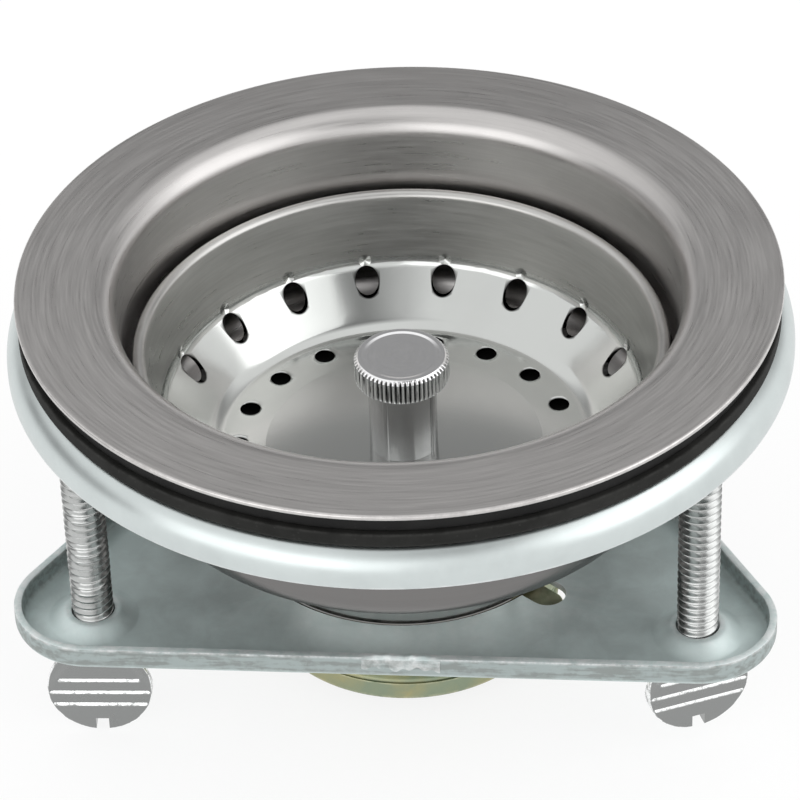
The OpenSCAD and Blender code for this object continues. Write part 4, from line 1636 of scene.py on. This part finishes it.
@dataclass(frozen=True)
class ThumbScrew:
    """A screw with a flat stamped head."""

    tip_z: float = -6.8
    thread_r: float = 3.15
    core_r: float = 2.5
    pitch: float = 1.27
    point: float = 1.4
    head_r: float = 8.0
    half_t: float = 1.1
    slot_half: float = 1.0
    slot_depth: float = 2.2
    grooves: tuple[float, ...] = (2.2, -0.2, -2.6)
    groove_depth: float = 0.4
    groove_w: float = 0.72
    groove_lip: float = 0.12
    groove_gap: float = 0.05
    top_short: float = 1.0
    flat_r: float = 7.55
    shoulder_x: float = 6.5
    shoulder_slope: float = 0.75
    step_low: float = -0.4
    step_soft: float = 0.55
    rim_w: float = 0.18
    wedge_h: float = 3.6
    recess: float = 0.55
    columns: tuple[int, int] = (2, 26)  # over half the slot, and from there to the rim
    # share of the rim's width, distance behind the face, edge mark (a painted highlight in the screw's finish),
    # and side of the head
    rim: tuple[tuple[float, float, float, int], ...] = (
        (0.7, 0.05, 1.0, 1), (1.0, 0.18, 0.6, 1), (1.0, 0.18, 0.6, -1), (0.7, 0.05, 1.0, -1),
    )

    def sunk(self, x: float, z: float) -> float:
        """Tells how deep the stamped face lies at a place on the head.

        Args:
            x: The place across the head.
            z: Its height from the head's middle.

        Returns:
            The depth in millimetres.
        """
        top = self.grooves[0]
        share, edge = 0.0, self.flat_r
        if z > top - self.groove_gap:
            share, edge = 1.0, self.shoulder_x - self.shoulder_slope * (z - top)
        elif z > self.step_low:
            share = (z - self.step_low) / (top - self.groove_gap - self.step_low)
            edge = self.flat_r - (self.flat_r - self.shoulder_x) * share
        depth = self.recess * share * min(1.0, max(0.0, (abs(x) - edge) / self.step_soft))
        return max(depth, self.scored(x, z))

    def scored(self, x: float, z: float) -> float:
        """Tells how deep a grip groove is at a place on the head.

        Args:
            x: The place across the head.
            z: Its height from the head's middle.

        Returns:
            The depth in millimetres.
        """
        for g in self.grooves:
            reach = math.sqrt(max(0.0, self.flat_r ** 2 - g * g)) - (self.top_short if g > 1 else 0.0)
            below = g - z
            if abs(x) > reach:
                continue
            if 0 < below <= self.groove_lip:
                return self.groove_depth * below / self.groove_lip
            if self.groove_lip < below < self.groove_w:
                return self.groove_depth * (self.groove_w - below) / (self.groove_w - self.groove_lip)
        return 0.0

    @property
    def face_r(self) -> float:
        """Gives the radius of the flat faces, inside the rim."""
        return self.head_r - self.rim_w

    @property
    def slot_top(self) -> float:
        """Gives the height where the slot ends, from the head's middle."""
        return self.slot_depth - self.head_r

    def half_width(self, z: float) -> float:
        """Gives half the width of the flat faces at a height."""
        return math.sqrt(max(0.0, self.face_r ** 2 - z * z))

    def levels(self) -> list[float]:
        """Gives the heights of the head's rows of vertices, closer where its shape changes.

        Returns:
            The heights from the head's middle, upwards.
        """
        low = -math.sqrt(self.face_r ** 2 - self.slot_half ** 2)
        out = [low + step for step in (0, 0.05, 0.2, 0.5, 1.0)]
        out += [self.slot_top + step for step in (-0.4, -0.05, 0, 0.05, 0.4)]
        for g in self.grooves:
            out += [g + step for step in (-1.5, -0.9, -0.76, -0.72, -0.5, -0.3, -0.16, -0.12, 0, 0.04, 0.3)]
        out += [3.2, 4.0, 4.8, 5.6, 6.3, 6.9, 7.3, 7.6, 7.75, self.face_r - 1e-4]
        return sorted(set(out))

    def head(self) -> Shell:
        """Builds the flat head, standing in the XZ plane.

        Returns:
            The shell.
        """
        shell = Shell()
        levels = self.levels()
        faces = {
            (face, side): self._face(shell, levels, face, side) for face in (1, -1) for side in (1, -1)
        }
        for side in (1, -1):
            self._join(shell, levels, side, faces[1, side], faces[-1, side])
        return shell

    def _face(self, shell: Shell, levels: Sequence[float], face: int, side: int) -> list[list[int]]:
        """Builds half of a flat face, from the slot's middle to the rim.

        Args:
            shell: The shell that it is added to.
            levels: The heights of its rows.
            face: 1 for the front and -1 for the back.
            side: 1 for the half towards X and -1 for the other.

        Returns:
            Its rows of vertices.
        """
        inner, outer = self.columns
        rows = []
        for z in levels:
            half = self.half_width(z)
            slot = min(self.slot_half, half)
            rows.append([
                shell.put(
                    side * x, face * (self.half_t - self.sunk(x, z)), z,
                    # groove faces are marked as edges, which the screw's finish paints as highlights
                    1.0 if self.scored(x, z) > 0.02 else 0.0,
                )
                for x in (*spread(0.0, slot, inner)[:-1], *spread(slot, half, outer))
            ])
        for z, one, two in zip(levels, rows, rows[1:]):
            start = inner if z < self.slot_top - ROUNDING else 0
            shell.strip(one[start:], two[start:], closed=False)
        return rows

    def _join(
        self, shell: Shell, levels: Sequence[float], side: int,
        front: Sequence[Sequence[int]], rear: Sequence[Sequence[int]],
    ) -> None:
        """Joins one half's front and back by the rim and by the slot's walls.

        Args:
            shell: The shell that both are added to.
            levels: The heights of the rows.
            side: 1 for the half towards X and -1 for the other.
            front: The front's rows of vertices.
            rear: The back's rows of vertices.
        """
        grow = self.head_r / self.face_r
        rims: list[list[int]] = []
        for z, one, two in zip(levels, front, rear):
            half = self.half_width(z)
            y = self.half_t - self.sunk(half, z)
            row = [one[-1]]
            for out, back, e, face in self.rim:
                q = 1 + (grow - 1) * out
                row.append(shell.put(side * half * q, face * (y - back), z * q, e))
            rims.append([*row, two[-1]])
        shell.strips(rims, closed=False)
        shell.faces.append(tuple(rims[0]))
        inner = self.columns[0]
        wall = [k for k, z in enumerate(levels) if z <= self.slot_top + ROUNDING]
        shell.strip([front[k][inner] for k in wall], [rear[k][inner] for k in wall], closed=False)
        top = wall[-1]
        shell.strip(front[top][:inner + 1], rear[top][:inner + 1], closed=False)

    def shank(self, tip: float) -> Shell:
        """Builds the wedge on the head and the plain core of the thread.

        Args:
            tip: Height of the screw's tip above the head's middle.

        Returns:
            The shell.
        """
        shell = Shell()
        r = self.thread_r
        sections: list[tuple[float, float, float]] = [(3.7, 0.85, r)]
        base = self.head_r - self.wedge_h
        for i in range(9):
            t = i / 8
            inner = self.half_t - 0.12
            sections.append((base + self.wedge_h * t, inner + (r - inner) * t ** 1.25, r))
        sections += [
            (self.head_r + 0.9, r, r), (self.head_r + 1.3, r, self.core_r),
            (tip - self.point, r, self.core_r), (tip, r, r - self.point),
        ]
        rows = [
            [shell.put(x, max(-limit, min(limit, y)), z) for x, y in circle(0, 0, radius, 64)]
            for z, limit, radius in sections
        ]
        shell.strips(rows)
        shell.cap(rows)
        return shell

    def build(self, shop: Shop) -> None:
        """Builds and dresses the three screws.

        Args:
            shop: The shared trees, effects and materials.
        """
        head = self.head()
        for corner in Corners:
            body, node, angle, turn, head_z = corner.value
            tip = self.tip_z - head_z
            place = Matrix.Rotation(math.radians(angle), 4, "Z") @ Matrix.Translation((SCREW_CIRCLE, 0, head_z))
            place = place @ Matrix.Rotation(math.radians(turn - angle), 4, "Z")
            blank = Shell()
            blank.add(head)
            blank.add(self.shank(tip))
            shop.place(node + "_blank", blank.moved(place).mesh(node + "_blank"), body, [node], Slot.SCREW)
            thread = grown(node + "_thread", shop.trees.thread, {
                "Core radius": (self.core_r + 0.06) * MM, "Crest radius": self.thread_r * MM,
                "Inner radius": (self.core_r - 0.2) * MM, "Pitch": self.pitch * MM,
                "Low": (self.head_r + 0.6) * MM, "High": (tip - self.point + 0.7) * MM,
                "Runout": 1.3 * MM, "Crest flat": 0.16, "Steps a turn": 8, "Steps round": 40,
                "Finish": shop.materials[Slot.SCREW],
            })
            metres = place.copy()
            metres.translation *= MM
            thread.transform(metres)
            shop.place(node + "_thread", thread, body, [], Slot.SCREW)


@dataclass(frozen=True)
class Outlet:
    """The die-cast outlet with its thread, collar, lugs and rolled rim."""

    bottom: float = -64.0
    bore_r: float = 19.8
    thread_r: float = 23.75
    core_r: float = 22.45
    pitch: float = 2.209
    plain_r: float = 22.6
    plain_h: float = 3.2
    thread_gap: float = 1.2
    thread_root: float = 1.0
    collar_r: float = 26.0
    collar: tuple[float, float] = (-50.2, -47.6)
    tube_r: float = 21.1
    rolled: tuple[float, float, float] = (24.8, -46.1, -43.7)  # radius, bottom and top
    seat_r: float = 23.5
    seat_z: float = -44.9
    lug_reach: float = 31.4
    lug_w: float = 4.8
    lug_top: float = -47.1

    def turning(self) -> Shell:
        """Turns the outlet without its thread's crests.

        Returns:
            The shell.
        """
        core = self.core_r - 0.08
        rim_r, rim_low, rim_top = self.rolled
        loop = trace([
            (self.bore_r, self.bottom, 0.3), (self.plain_r, self.bottom, 0.6),
            (self.plain_r, self.bottom + self.plain_h, 0.4), (core, self.bottom + self.plain_h),
            (core, self.collar[0] - self.thread_gap), (core, self.collar[0], 0.3),
            (self.collar_r, self.collar[0], 0.35), (self.collar_r, self.collar[1], 0.35),
            (self.tube_r, self.collar[1]), (self.tube_r, rim_low),
            (rim_r, rim_low, 0.3), (rim_r, rim_top, 0.7),
            (self.seat_r, rim_top, 0.3), (self.seat_r, self.seat_z),
            (self.bore_r, self.seat_z, 0.2),
        ])
        return turned(guarded(loop), around=216)

    def lug(self) -> Shell:
        """Builds one lug, pointing along X, its root inside the collar.

        Returns:
            The shell.
        """
        shell = Shell()
        half = self.lug_w / 2
        root = self.collar_r - 2.0
        low, high = self.collar[0], self.lug_top
        rows = []
        for inset, z, e in (
            (0.35, low, 0.6), (0.1, low + 0.1, 1.0), (0.0, low + 0.35, 0.5),
            (0.0, high - 0.35, 0.5), (0.1, high - 0.1, 1.0), (0.35, high, 0.6),
        ):
            q = half - inset
            loop = [(root, -q), *arc(self.lug_reach - half, 0, q, -90, 180, 16), (root, q)]
            rows.append([shell.put(x, y, z, e) for x, y in loop])
        shell.strips(rows)
        shell.cap(rows)
        return shell

    def build(self, shop: Shop) -> None:
        """Builds and dresses the outlet, its lugs and its thread.

        Args:
            shop: The shared trees, effects and materials.
        """
        body = self.turning().mesh("outlet_turning")
        shop.place("outlet_turning", body, "strainer", ["outlet_nipple"], Slot.OUTLET)
        lugs = repeated(shop, "outlet_lugs", self.lug(), 3, LUG_ANGLE, Slot.OUTLET)
        shop.place("outlet_lugs", lugs, "strainer", [], Slot.OUTLET)
        thread = grown("outlet_thread", shop.trees.thread, {
            "Core radius": self.core_r * MM, "Crest radius": self.thread_r * MM,
            "Inner radius": (self.core_r - self.thread_root) * MM, "Pitch": self.pitch * MM,
            "Low": (self.bottom + self.plain_h + 0.1) * MM, "High": (self.collar[0] - self.thread_gap - 0.2) * MM,
            "Runout": 1.6 * MM, "Crest flat": 0.2, "Steps a turn": 10, "Steps round": 180,
            "Finish": shop.materials[Slot.OUTLET],
        })
        shop.place("outlet_thread", thread, "strainer", [], Slot.OUTLET)


def spot(path: Sequence[Point], u: float) -> Point:
    """Gives the point of a path at a row number with a fraction."""
    k = min(int(u), len(path) - 2)
    return part_way(path[k], path[k + 1], u - k)


def locate(path: Sequence[Point], rows: tuple[int, int], axis: int, value: float) -> float:
    """Finds where a path has a given radius or height.

    Args:
        path: The path.
        rows: First and last row that are searched.
        axis: 0 for the radius and 1 for the height.
        value: The radius or the height.

    Returns:
        The row number with a fraction.
    """
    for k in range(*rows):
        one, two = path[k][axis], path[k + 1][axis]
        if min(one, two) - ROUNDING <= value <= max(one, two) + ROUNDING:
            return k + (value - one) / (two - one)
    raise ValueError(f"no station at {value}")


@dataclass(frozen=True)
class Cup:
    """The perforated basket, built as one sector with a wall hole and a floor hole."""

    sheet: float = 0.6
    cove: Bend = Bend(27.6, -27.141, 4.0)
    wall: Bend = Bend(33.8, -22.241, 3.0)
    roll: Bend = Bend(39.45, -12.791, -1.05)
    rim_under: tuple[float, float] = (39.9, -13.94)
    count: int = 18
    first_angle: float = 3.6
    wall_hole_r: float = 1.9
    wall_hole_z: float = -25.641
    floor_hole_r: float = 1.55
    floor_hole_at: float = 25.4
    columns: int = 12
    floor_steps: tuple[float, ...] = (0, 0.02, 0.1, 0.2, 0.3, 0.4, 0.5, 0.6, 0.7, 0.78)
    cove_gap: float = 0.35
    wall_hole_rows: int = 11
    side_steps: int = 10
    roll_steps: int = 16
    roll_end: float = -215.0
    roll_worn: tuple[int, int] = (6, 11)  # first and last step where the mouth is worn
    under_inset: float = 0.15
    # share of the way to a hole, edge mark (-1 paints shade at the hole's rim), and how far the sheet is drawn in
    hole_steps: tuple[tuple[float, float, float], ...] = (
        (0, 0, 0), (0.3, 0, 0), (0.58, 0, 0), (0.8, 0, 0), (0.93, 0, 0.03), (1, -1, 0.12),
    )

    def skins(self) -> tuple[Sequence[Point], Sequence[Point], tuple[int, int], tuple[int, int]]:
        """Runs both skins from the hub outwards.

        Returns:
            The wetted and the dry skin, then the rows that hold the floor hole and the wall hole.
        """
        low = wall_normal(self.wall, self.cove)
        high = wall_normal(self.roll, self.wall)
        flat = [STEM_HOLE_R + t * (self.cove.r - STEM_HOLE_R) for t in self.floor_steps]
        flat.append(self.cove.r - self.cove_gap)
        pairs = [((r, BASKET_FLOOR), (r, BASKET_FLOOR - self.sheet)) for r in flat]
        floor_rows = (len(flat) - 2, len(flat) - 1)
        pairs += [(self.cove.at(a), self.cove.at(a, self.sheet)) for a in spread(-90, low, 12)]
        wall_rows = (len(pairs) - 1, len(pairs) - 1 + self.wall_hole_rows)
        pairs += [(self.wall.at(a), self.wall.at(a, self.sheet)) for a in spread(low, high, 16)]
        foot_in, foot_out = self.wall.at(high), self.wall.at(high, self.sheet)
        top_in = self.roll.at(high)
        top_out = (top_in[0] + self.sheet, self.rim_under[1])
        for t in (0.06, 0.3, 0.6, 0.94, 1.0):
            pairs.append((part_way(foot_in, top_in, t), part_way(foot_out, top_out, t)))
        wet, dry = zip(*pairs)
        return wet, dry, floor_rows, wall_rows

    def cell(self) -> Shell:
        """Builds one sector of the cup, centred on the X axis.

        Returns:
            The shell, open at its two sides.
        """
        wet, dry, floor_rows, wall_rows = self.skins()
        half = math.pi / self.count
        angles = spread(-half, half, self.columns)
        shell = Shell()
        grids: list[list[list[int]]] = []
        floor_edges: list[list[int]] = []
        wall_edges: list[list[int]] = []
        for path, up in ((wet, 1.0), (dry, -1.0)):
            rows = [[self._put(shell, path, k, a) for a in angles] for k in range(len(path))]
            grids.append(rows)
            for k in range(len(path) - 1):
                if floor_rows[0] <= k < floor_rows[1] or wall_rows[0] <= k < wall_rows[1]:
                    continue
                shell.strip(rows[k], rows[k + 1], closed=False)
            floor_edges.append(self._field(shell, path, floor_rows, angles, self._floor_hole, up))
            wall_edges.append(self._field(shell, path, wall_rows, angles, self._wall_hole, 0.0))
        shell.strip(*floor_edges)
        shell.strip(*wall_edges)
        shell.strip(grids[0][0], grids[1][0], closed=False)
        self._mouth(shell, angles, grids[0][-1], grids[1][-1])
        return shell

    @staticmethod
    def _put(
        shell: Shell, path: Sequence[Point], u: float, a: float, edge: float = 0.0, sink: float = 0.0
    ) -> int:
        """Adds a vertex on a skin, or a little below it, and gives its number."""
        r, z = spot(path, u)
        return shell.put_round(a, r, z - sink, edge)

    def _floor_hole(self, path: Sequence[Point], span: tuple[int, int], swing: float) -> Point:
        """Gives the row and the angle where the floor hole's edge lies on a skin."""
        x, y = self.floor_hole_at + self.floor_hole_r * math.sin(swing), self.floor_hole_r * math.cos(swing)
        return locate(path, span, 0, math.hypot(x, y)), math.atan2(y, x)

    def _wall_hole(self, path: Sequence[Point], span: tuple[int, int], swing: float) -> Point:
        """Gives the row and the angle where the wall hole's edge lies on a skin."""
        u = locate(path, span, 1, self.wall_hole_z + self.wall_hole_r * math.sin(swing))
        return u, math.asin(self.wall_hole_r * math.cos(swing) / spot(path, u)[0])

    def _field(
        self, shell: Shell, path: Sequence[Point], span: tuple[int, int], angles: Sequence[float],
        hole: Callable[[Sequence[Point], tuple[int, int], float], Point], draw: float,
    ) -> list[int]:
        """Fills the field between some rows of a skin, with a hole in its middle.

        Args:
            shell: The shell that the field is added to.
            path: The skin.
            span: First and last row.
            angles: The angles of the sector's columns.
            hole: Finds a point of the hole's edge.
            draw: Share of its depth by which the edge is drawn in, downwards.

        Returns:
            The vertices of the hole's edge.
        """
        first, last = span
        steps = spread(0.0, last - first, self.side_steps)[:-1]
        border = [(first, a) for a in angles[:-1]] + [(first + u, angles[-1]) for u in steps]
        border += [(last, a) for a in reversed(angles[1:])] + [(last - u, angles[0]) for u in steps]
        middle, width = (first + last) / 2, TURN / self.count
        edge = [
            hole(path, span, math.atan2((u - middle) / (last - first), a / width)) for u, a in border
        ]
        # an edge mark of -1 paints shade at the hole's rim
        rings = [
            [
                self._put(shell, path, u + (hu - u) * t, a + (ha - a) * t, edge_mark, sink * draw)
                for (u, a), (hu, ha) in zip(border, edge)
            ]
            for t, edge_mark, sink in self.hole_steps
        ]
        shell.strips(rings)
        return rings[-1]

    def _mouth(
        self, shell: Shell, angles: Sequence[float], wet_end: Sequence[int], dry_end: Sequence[int]
    ) -> None:
        """Rolls the mouth outwards, from the wetted skin's last row to the dry one's.

        Args:
            shell: The shell that the mouth is added to.
            angles: The angles of the sector's columns.
            wet_end: The wetted skin's last row.
            dry_end: The dry skin's last row.
        """
        high = wall_normal(self.roll, self.wall)
        first, last = self.roll_worn
        rows = [wet_end]
        for i, normal in enumerate(spread(high, self.roll_end, self.roll_steps)[1:], 1):
            r, z = self.roll.at(normal)
            edge_mark = 0.25 if first <= i <= last else 0.0
            rows.append([shell.put_round(a, r, z, edge_mark) for a in angles])
        r, z = self.rim_under
        rows.append([shell.put_round(a, r - self.under_inset, z) for a in angles])
        shell.strips([*rows, dry_end], closed=False)

    def build(self, shop: Shop) -> None:
        """Builds and dresses the cup."""
        mesh = repeated(shop, "basket_cup", self.cell(), self.count, self.first_angle, Slot.BASKET)
        shop.place("basket_drawn_cup", mesh, "basket", ["basket_cup"], Slot.BASKET)


def repeated(shop: Shop, name: str, cell: Shell, count: int, first_angle: float, slot: Slot) -> Mesh:
    """Repeats a cell round the Z axis with the geometry node tree.

    Args:
        shop: The shared trees and materials.
        name: The mesh's name.
        cell: The cell.
        count: Copies in a full turn.
        first_angle: Angle of the first copy in degrees.
        slot: Slot of the material that the tree sets.

    Returns:
        The welded mesh.
    """
    host = stand(name + "_cell", cell.mesh(name + "_cell"))
    mesh = grown(name, shop.trees.round_axis, {
        "Cell": host, "Count": count, "First angle": math.radians(first_angle), "Finish": shop.materials[slot],
    })
    bpy.data.objects.remove(host)
    return mesh


@dataclass(frozen=True)
class Grip:
    """The knurled knob on its ribbed post, and the stem."""

    knob_r: float = 7.2
    knob_low: float = -18.9
    knob_top: float = -14.741
    bevel: float = 0.6
    knurls: int = 60
    knurl_depth: float = 0.42
    hole_top: float = -15.841
    post_r: float = 5.2
    ribs: int = 4
    rib_w: float = 0.8
    rib_h: float = 0.3
    rib_angle: float = 64.3
    stem_r: float = 2.4
    stem_low: float = -48.6
    catch_z: float = -46.2
    groove_r: float = 1.35
    groove_half: float = 0.85

    def knob(self) -> Shell:
        """Builds one knurl's wedge of the knob, from axis to crest.

        Returns:
            The shell, open at its two sides.
        """
        top, low = self.knob_top, self.knob_low
        cell = TURN / self.knurls
        loop = trace([
            (0, top - 0.12), (self.knob_r - 2.4, top - 0.12),
            (self.knob_r - 1.7, top - 0.1, 0.2),
            (self.knob_r - 1.25, top, 0.2), (self.knob_r - self.bevel, top, 0.12),
            (self.knob_r, top - self.bevel), (self.knob_r, low + 0.3),
            (self.knob_r - 0.3, low), (STEM_HOLE_R, low), (STEM_HOLE_R, self.hole_top),
            (0, self.hole_top),
        ])
        loop = guarded(loop, reach=0.15, long=1.0)

        def knurled(a: float, r: float) -> float:
            """Gives the radius at an angle."""
            share = abs(2 * ((a / cell) % 1.0) - 1)
            return min(r, self.knob_r - self.knurl_depth * (1 - min(1.0, share / 0.7)))

        return turned(loop, around=8, sweep=cell, reshape=knurled)

    def post(self) -> Shell:
        """Builds a quarter of the post, with one rib in its middle.

        Returns:
            The shell, open at its two sides.
        """
        loop = guarded([
            (STEM_HOLE_R, BASKET_FLOOR, 0.0), (self.post_r, BASKET_FLOOR, 0.0),
            (self.post_r, self.knob_low, 0.0), (STEM_HOLE_R, self.knob_low, 0.0),
        ], reach=0.3)
        sweep = TURN / self.ribs

        def ribbed(a: float, r: float) -> float:
            """Gives the radius at an angle."""
            share = (self.rib_w / 2 + 0.06 - abs(a - sweep / 2) * self.post_r) / 0.12
            return r + self.rib_h * min(1.0, max(0.0, share)) if r > self.post_r - 0.01 else r

        return turned(loop, around=90, sweep=sweep, reshape=ribbed)

    def stem(self) -> Shell:
        """Turns the stem, with the groove for the catch ring.

        Returns:
            The shell.
        """
        r = self.stem_r
        up, down = self.catch_z + self.groove_half, self.catch_z - self.groove_half
        loop = trace([
            (0, self.hole_top), (r, self.hole_top), (r, up, 0.1), (self.groove_r, up),
            (self.groove_r, down), (r, down, 0.1), (r, self.stem_low + 0.8, 0.2),
            (r - 0.8, self.stem_low, 0.3), (0, self.stem_low),
        ])
        return turned(guarded(loop), around=96)

    def build(self, shop: Shop) -> None:
        """Builds and dresses the three pieces.

        Args:
            shop: The shared trees, effects and materials.
        """
        knob = repeated(shop, "knurled_knob", self.knob(), self.knurls, 0.0, Slot.KNOB)
        shop.place("knurled_knob", knob, "basket", ["basket_knob"], Slot.KNOB)
        first = self.rib_angle - 180 / self.ribs
        post = repeated(shop, "ribbed_post", self.post(), self.ribs, first, Slot.KNOB)
        shop.place("ribbed_post", post, "basket", ["basket_post"], Slot.KNOB)
        shop.place("lift_stem", self.stem().mesh("lift_stem"), "basket", ["basket_stem"], Slot.STEM)


@dataclass(frozen=True)
class Stopper:
    """The rubber stopper under the basket."""

    hub_r: float = 9.0
    hub_top: float = -32.541
    edge_r: float = 30.0
    top: float = -33.341
    edge_z: float = -35.341
    flat_r: float = 27.0
    bottom: float = -36.677

    def build(self, shop: Shop) -> None:
        """Builds and dresses the stopper.

        Args:
            shop: The shared trees, effects and materials.
        """
        loop = trace([
            (STEM_HOLE_R, self.hub_top), (self.hub_r, self.hub_top, 0.2),
            (self.hub_r, self.top, 0.2), (self.edge_r, self.top, 0.5),
            (self.edge_r, self.edge_z, 0.3), (self.flat_r, self.bottom, 0.3),
            (STEM_HOLE_R, self.bottom),
        ])
        shell = turned(guarded(loop))
        shop.place("rubber_stopper", shell.mesh("rubber_stopper"), "stopper", ["stopper_seal"], Slot.RUBBER)


class Kept(Enum):
    """The solids that keep their shape, with their slots."""

    CROSSBAR = ("crossbar", Slot.STAMPED)
    CAP_WASHER = ("cap_washer", Slot.STAMPED)
    BACKING_WASHER = ("backing_washer", Slot.STAMPED)
    STEM_NUT = ("stem_nut", Slot.STEM)
    CATCH_RING = ("catch_ring", Slot.RUBBER)
    OUTLET_SEAL = ("outlet_seal", Slot.RUBBER)


# The studio

def grey(tone: float) -> tuple[float, float, float, float]:
    """Gives an opaque grey of that tone."""
    return tone, tone, tone, 1.0


def board(name: str, w: float, h: float) -> tuple[Mesh, ShaderSketch]:
    """Makes a flat board with a material of its own.

    Args:
        name: The name of both.
        w: Half its width.
        h: Half its height.

    Returns:
        The board's mesh, and the sketch of its material.
    """
    mesh = bpy.data.meshes.new(name)
    mesh.from_pydata([(-w, -h, 0), (w, -h, 0), (w, h, 0), (-w, h, 0)], [], [(0, 1, 2, 3)])
    material = bpy.data.materials.new(name)
    material.use_nodes = True
    mesh.materials.append(material)
    return mesh, ShaderSketch(material.node_tree)


@dataclass(frozen=True)
class Hung:
    """A thing of the studio that hangs round the object and looks at it."""

    name: str
    azimuth: float
    elevation: float
    distance: float
    size: tuple[float, float]

    def hang(self, data: Any, middle: float = 0.0) -> Object:
        """Hangs a lamp or a mesh in its place.

        Args:
            data: The lamp or the mesh.
            middle: How much higher than the round it hangs, in metres.

        Returns:
            What hangs there.
        """
        a, e = math.radians(self.azimuth), math.radians(self.elevation)
        away = Vector((math.sin(a) * math.cos(e), -math.cos(a) * math.cos(e), math.sin(e)))
        thing = stand(self.name, data)
        thing.location = away * self.distance + Vector((0, 0, middle))
        thing.rotation_euler = away.to_track_quat("Z", "Y").to_euler()
        return thing


@dataclass(frozen=True)
class Lamp(Hung):
    """A soft area lamp."""

    watts: float

    def build(self) -> None:
        """Hangs the lamp."""
        data = bpy.data.lights.new(self.name, "AREA")
        data.shape = "RECTANGLE"
        data.size, data.size_y = self.size
        data.energy = self.watts
        self.hang(data, middle=-0.02)


@dataclass(frozen=True)
class Card(Hung):
    """A plain board that only reflections see, clear towards its edges."""

    tone: float
    soft: float = 0.5

    def build(self) -> None:
        """Hangs the board."""
        w, h = self.size[0] / 2, self.size[1] / 2
        mesh, s = board(self.name, w, h)
        s.tree.nodes.clear()
        place = s.xyz(s.place())
        within = s.times(*(
            s.span(s.math("ABSOLUTE", place[axis]), half * (1 - self.soft), half, 1.0, 0.0)
            for axis, half in enumerate((w, h))
        ))
        clear = s.node("ShaderNodeBsdfTransparent")
        glow = s.node("ShaderNodeEmission", {"Color": grey(self.tone)})
        both = s.node("ShaderNodeMixShader", {0: within, 1: clear, 2: glow})
        s.node("ShaderNodeOutputMaterial", {"Surface": both})
        card = self.hang(mesh)
        card.visible_camera = False
        card.visible_diffuse = False
        card.visible_shadow = False
        card.visible_transmission = False


@dataclass(frozen=True)
class Studio:
    """Floor, world, lamps and camera."""

    floor_z: float = -0.0678
    floor_half: float = 3.0
    floor_tone: float = 0.98
    ambient: float = 0.95
    floor_glow: float = 0.85
    lamps: tuple[Lamp, ...] = (
        Lamp("key_lamp", -30.0, 24.0, 1.0, (1.1, 0.6), 1.8),
        Lamp("fill_lamp", 75.0, 36.0, 1.0, (0.95, 0.95), 2.7),
    )
    cards: tuple[Card, ...] = (
        Card("left_card", -98.0, 12.0, 1.1, (1.6, 0.5), 0.3),
        Card("back_card", 180.0, 29.0, 1.1, (3.4, 1.0), 0.31),
        Card("front_card", 40.0, 58.0, 1.1, (1.3, 1.0), 0.28, 0.8),
    )
    focal_px: float = 4165.13
    picture_px: float = 800.0
    distance: float = 0.59426
    elevation: float = 37.343
    roll: float = -1.966
    turn: float = 5.4
    target: tuple[float, float, float] = (-0.0004236, -0.030563, 0.0)

    def _world(self) -> None:
        """Makes the background white and keeps the light on the object plain."""
        world = bpy.data.worlds.new("studio")
        bpy.context.scene.world = world
        world.use_nodes = True
        s = ShaderSketch(world.node_tree)
        background = s.own("BACKGROUND")
        s.feed(background.inputs["Color"], grey(1.0))
        path = s.node("ShaderNodeLightPath")
        seen = s.math("MAXIMUM", path.outputs["Is Camera Ray"], path.outputs["Is Transmission Ray"])
        shown = s.math("MAXIMUM", seen, path.outputs["Is Glossy Ray"])
        level = s.plus(shown, s.times(s.minus(1.0, shown), self.ambient))
        s.feed(background.inputs["Strength"], level)

    def _floor(self) -> None:
        """Lays the pale floor."""
        mesh, s = board("floor", self.floor_half, self.floor_half)
        s.feed(s.port("Base Color"), grey(self.floor_tone))
        s.feed(s.port("Roughness"), 1.0)
        s.feed(s.port("Specular IOR Level"), 0.0)
        glow = s.node("ShaderNodeEmission", {"Color": grey(1.0)})
        path = s.node("ShaderNodeLightPath")
        seen = s.math("MAXIMUM", path.outputs["Is Camera Ray"], path.outputs["Is Glossy Ray"])
        share = s.times(seen, self.floor_glow)
        blend = s.node("ShaderNodeMixShader", {0: share, 1: s.own("BSDF_PRINCIPLED"), 2: glow})
        s.feed(s.own("OUTPUT_MATERIAL").inputs["Surface"], blend)
        floor = stand("floor", mesh)
        floor.location.z = self.floor_z

    def _camera(self) -> None:
        """Sets the camera where the photograph was taken."""
        e, r = math.radians(self.elevation), math.radians(self.roll)
        back = Vector((0, -math.cos(e), math.sin(e)))
        right = Vector((1, 0, 0))
        up = back.cross(right)
        across = right * math.cos(r) + up * math.sin(r)
        above = up * math.cos(r) - right * math.sin(r)
        place = Matrix((across, above, back)).transposed().to_4x4()
        place.translation = Vector(self.target) + back * self.distance
        data = bpy.data.cameras.new("photo_camera")
        data.sensor_width = 36.0
        data.lens = self.focal_px / self.picture_px * data.sensor_width
        data.clip_start, data.clip_end = 0.01, 20.0
        camera = stand("photo_camera", data)
        camera.matrix_world = Matrix.Rotation(math.radians(self.turn), 4, "Z") @ place
        bpy.context.scene.camera = camera

    def build(self) -> None:
        """Builds the whole studio."""
        self._world()
        self._floor()
        self._camera()
        for thing in (*self.lamps, *self.cards):
            thing.build()
        bpy.context.scene.view_settings.view_transform = "Standard"


def main() -> None:
    """Builds the strainer and the studio."""
    logging.basicConfig(level=logging.INFO, format="%(name)s: %(message)s")
    shop = Shop()
    for part in (Bowl(), Seals(), ClampRing(), Plate(), ThumbScrew(), Outlet(), Cup(), Grip(), Stopper()):
        part.build(shop)
    for kept in Kept:
        shop.dress(*kept.value)
    Studio().build()


if __name__ == "__main__":
    main()
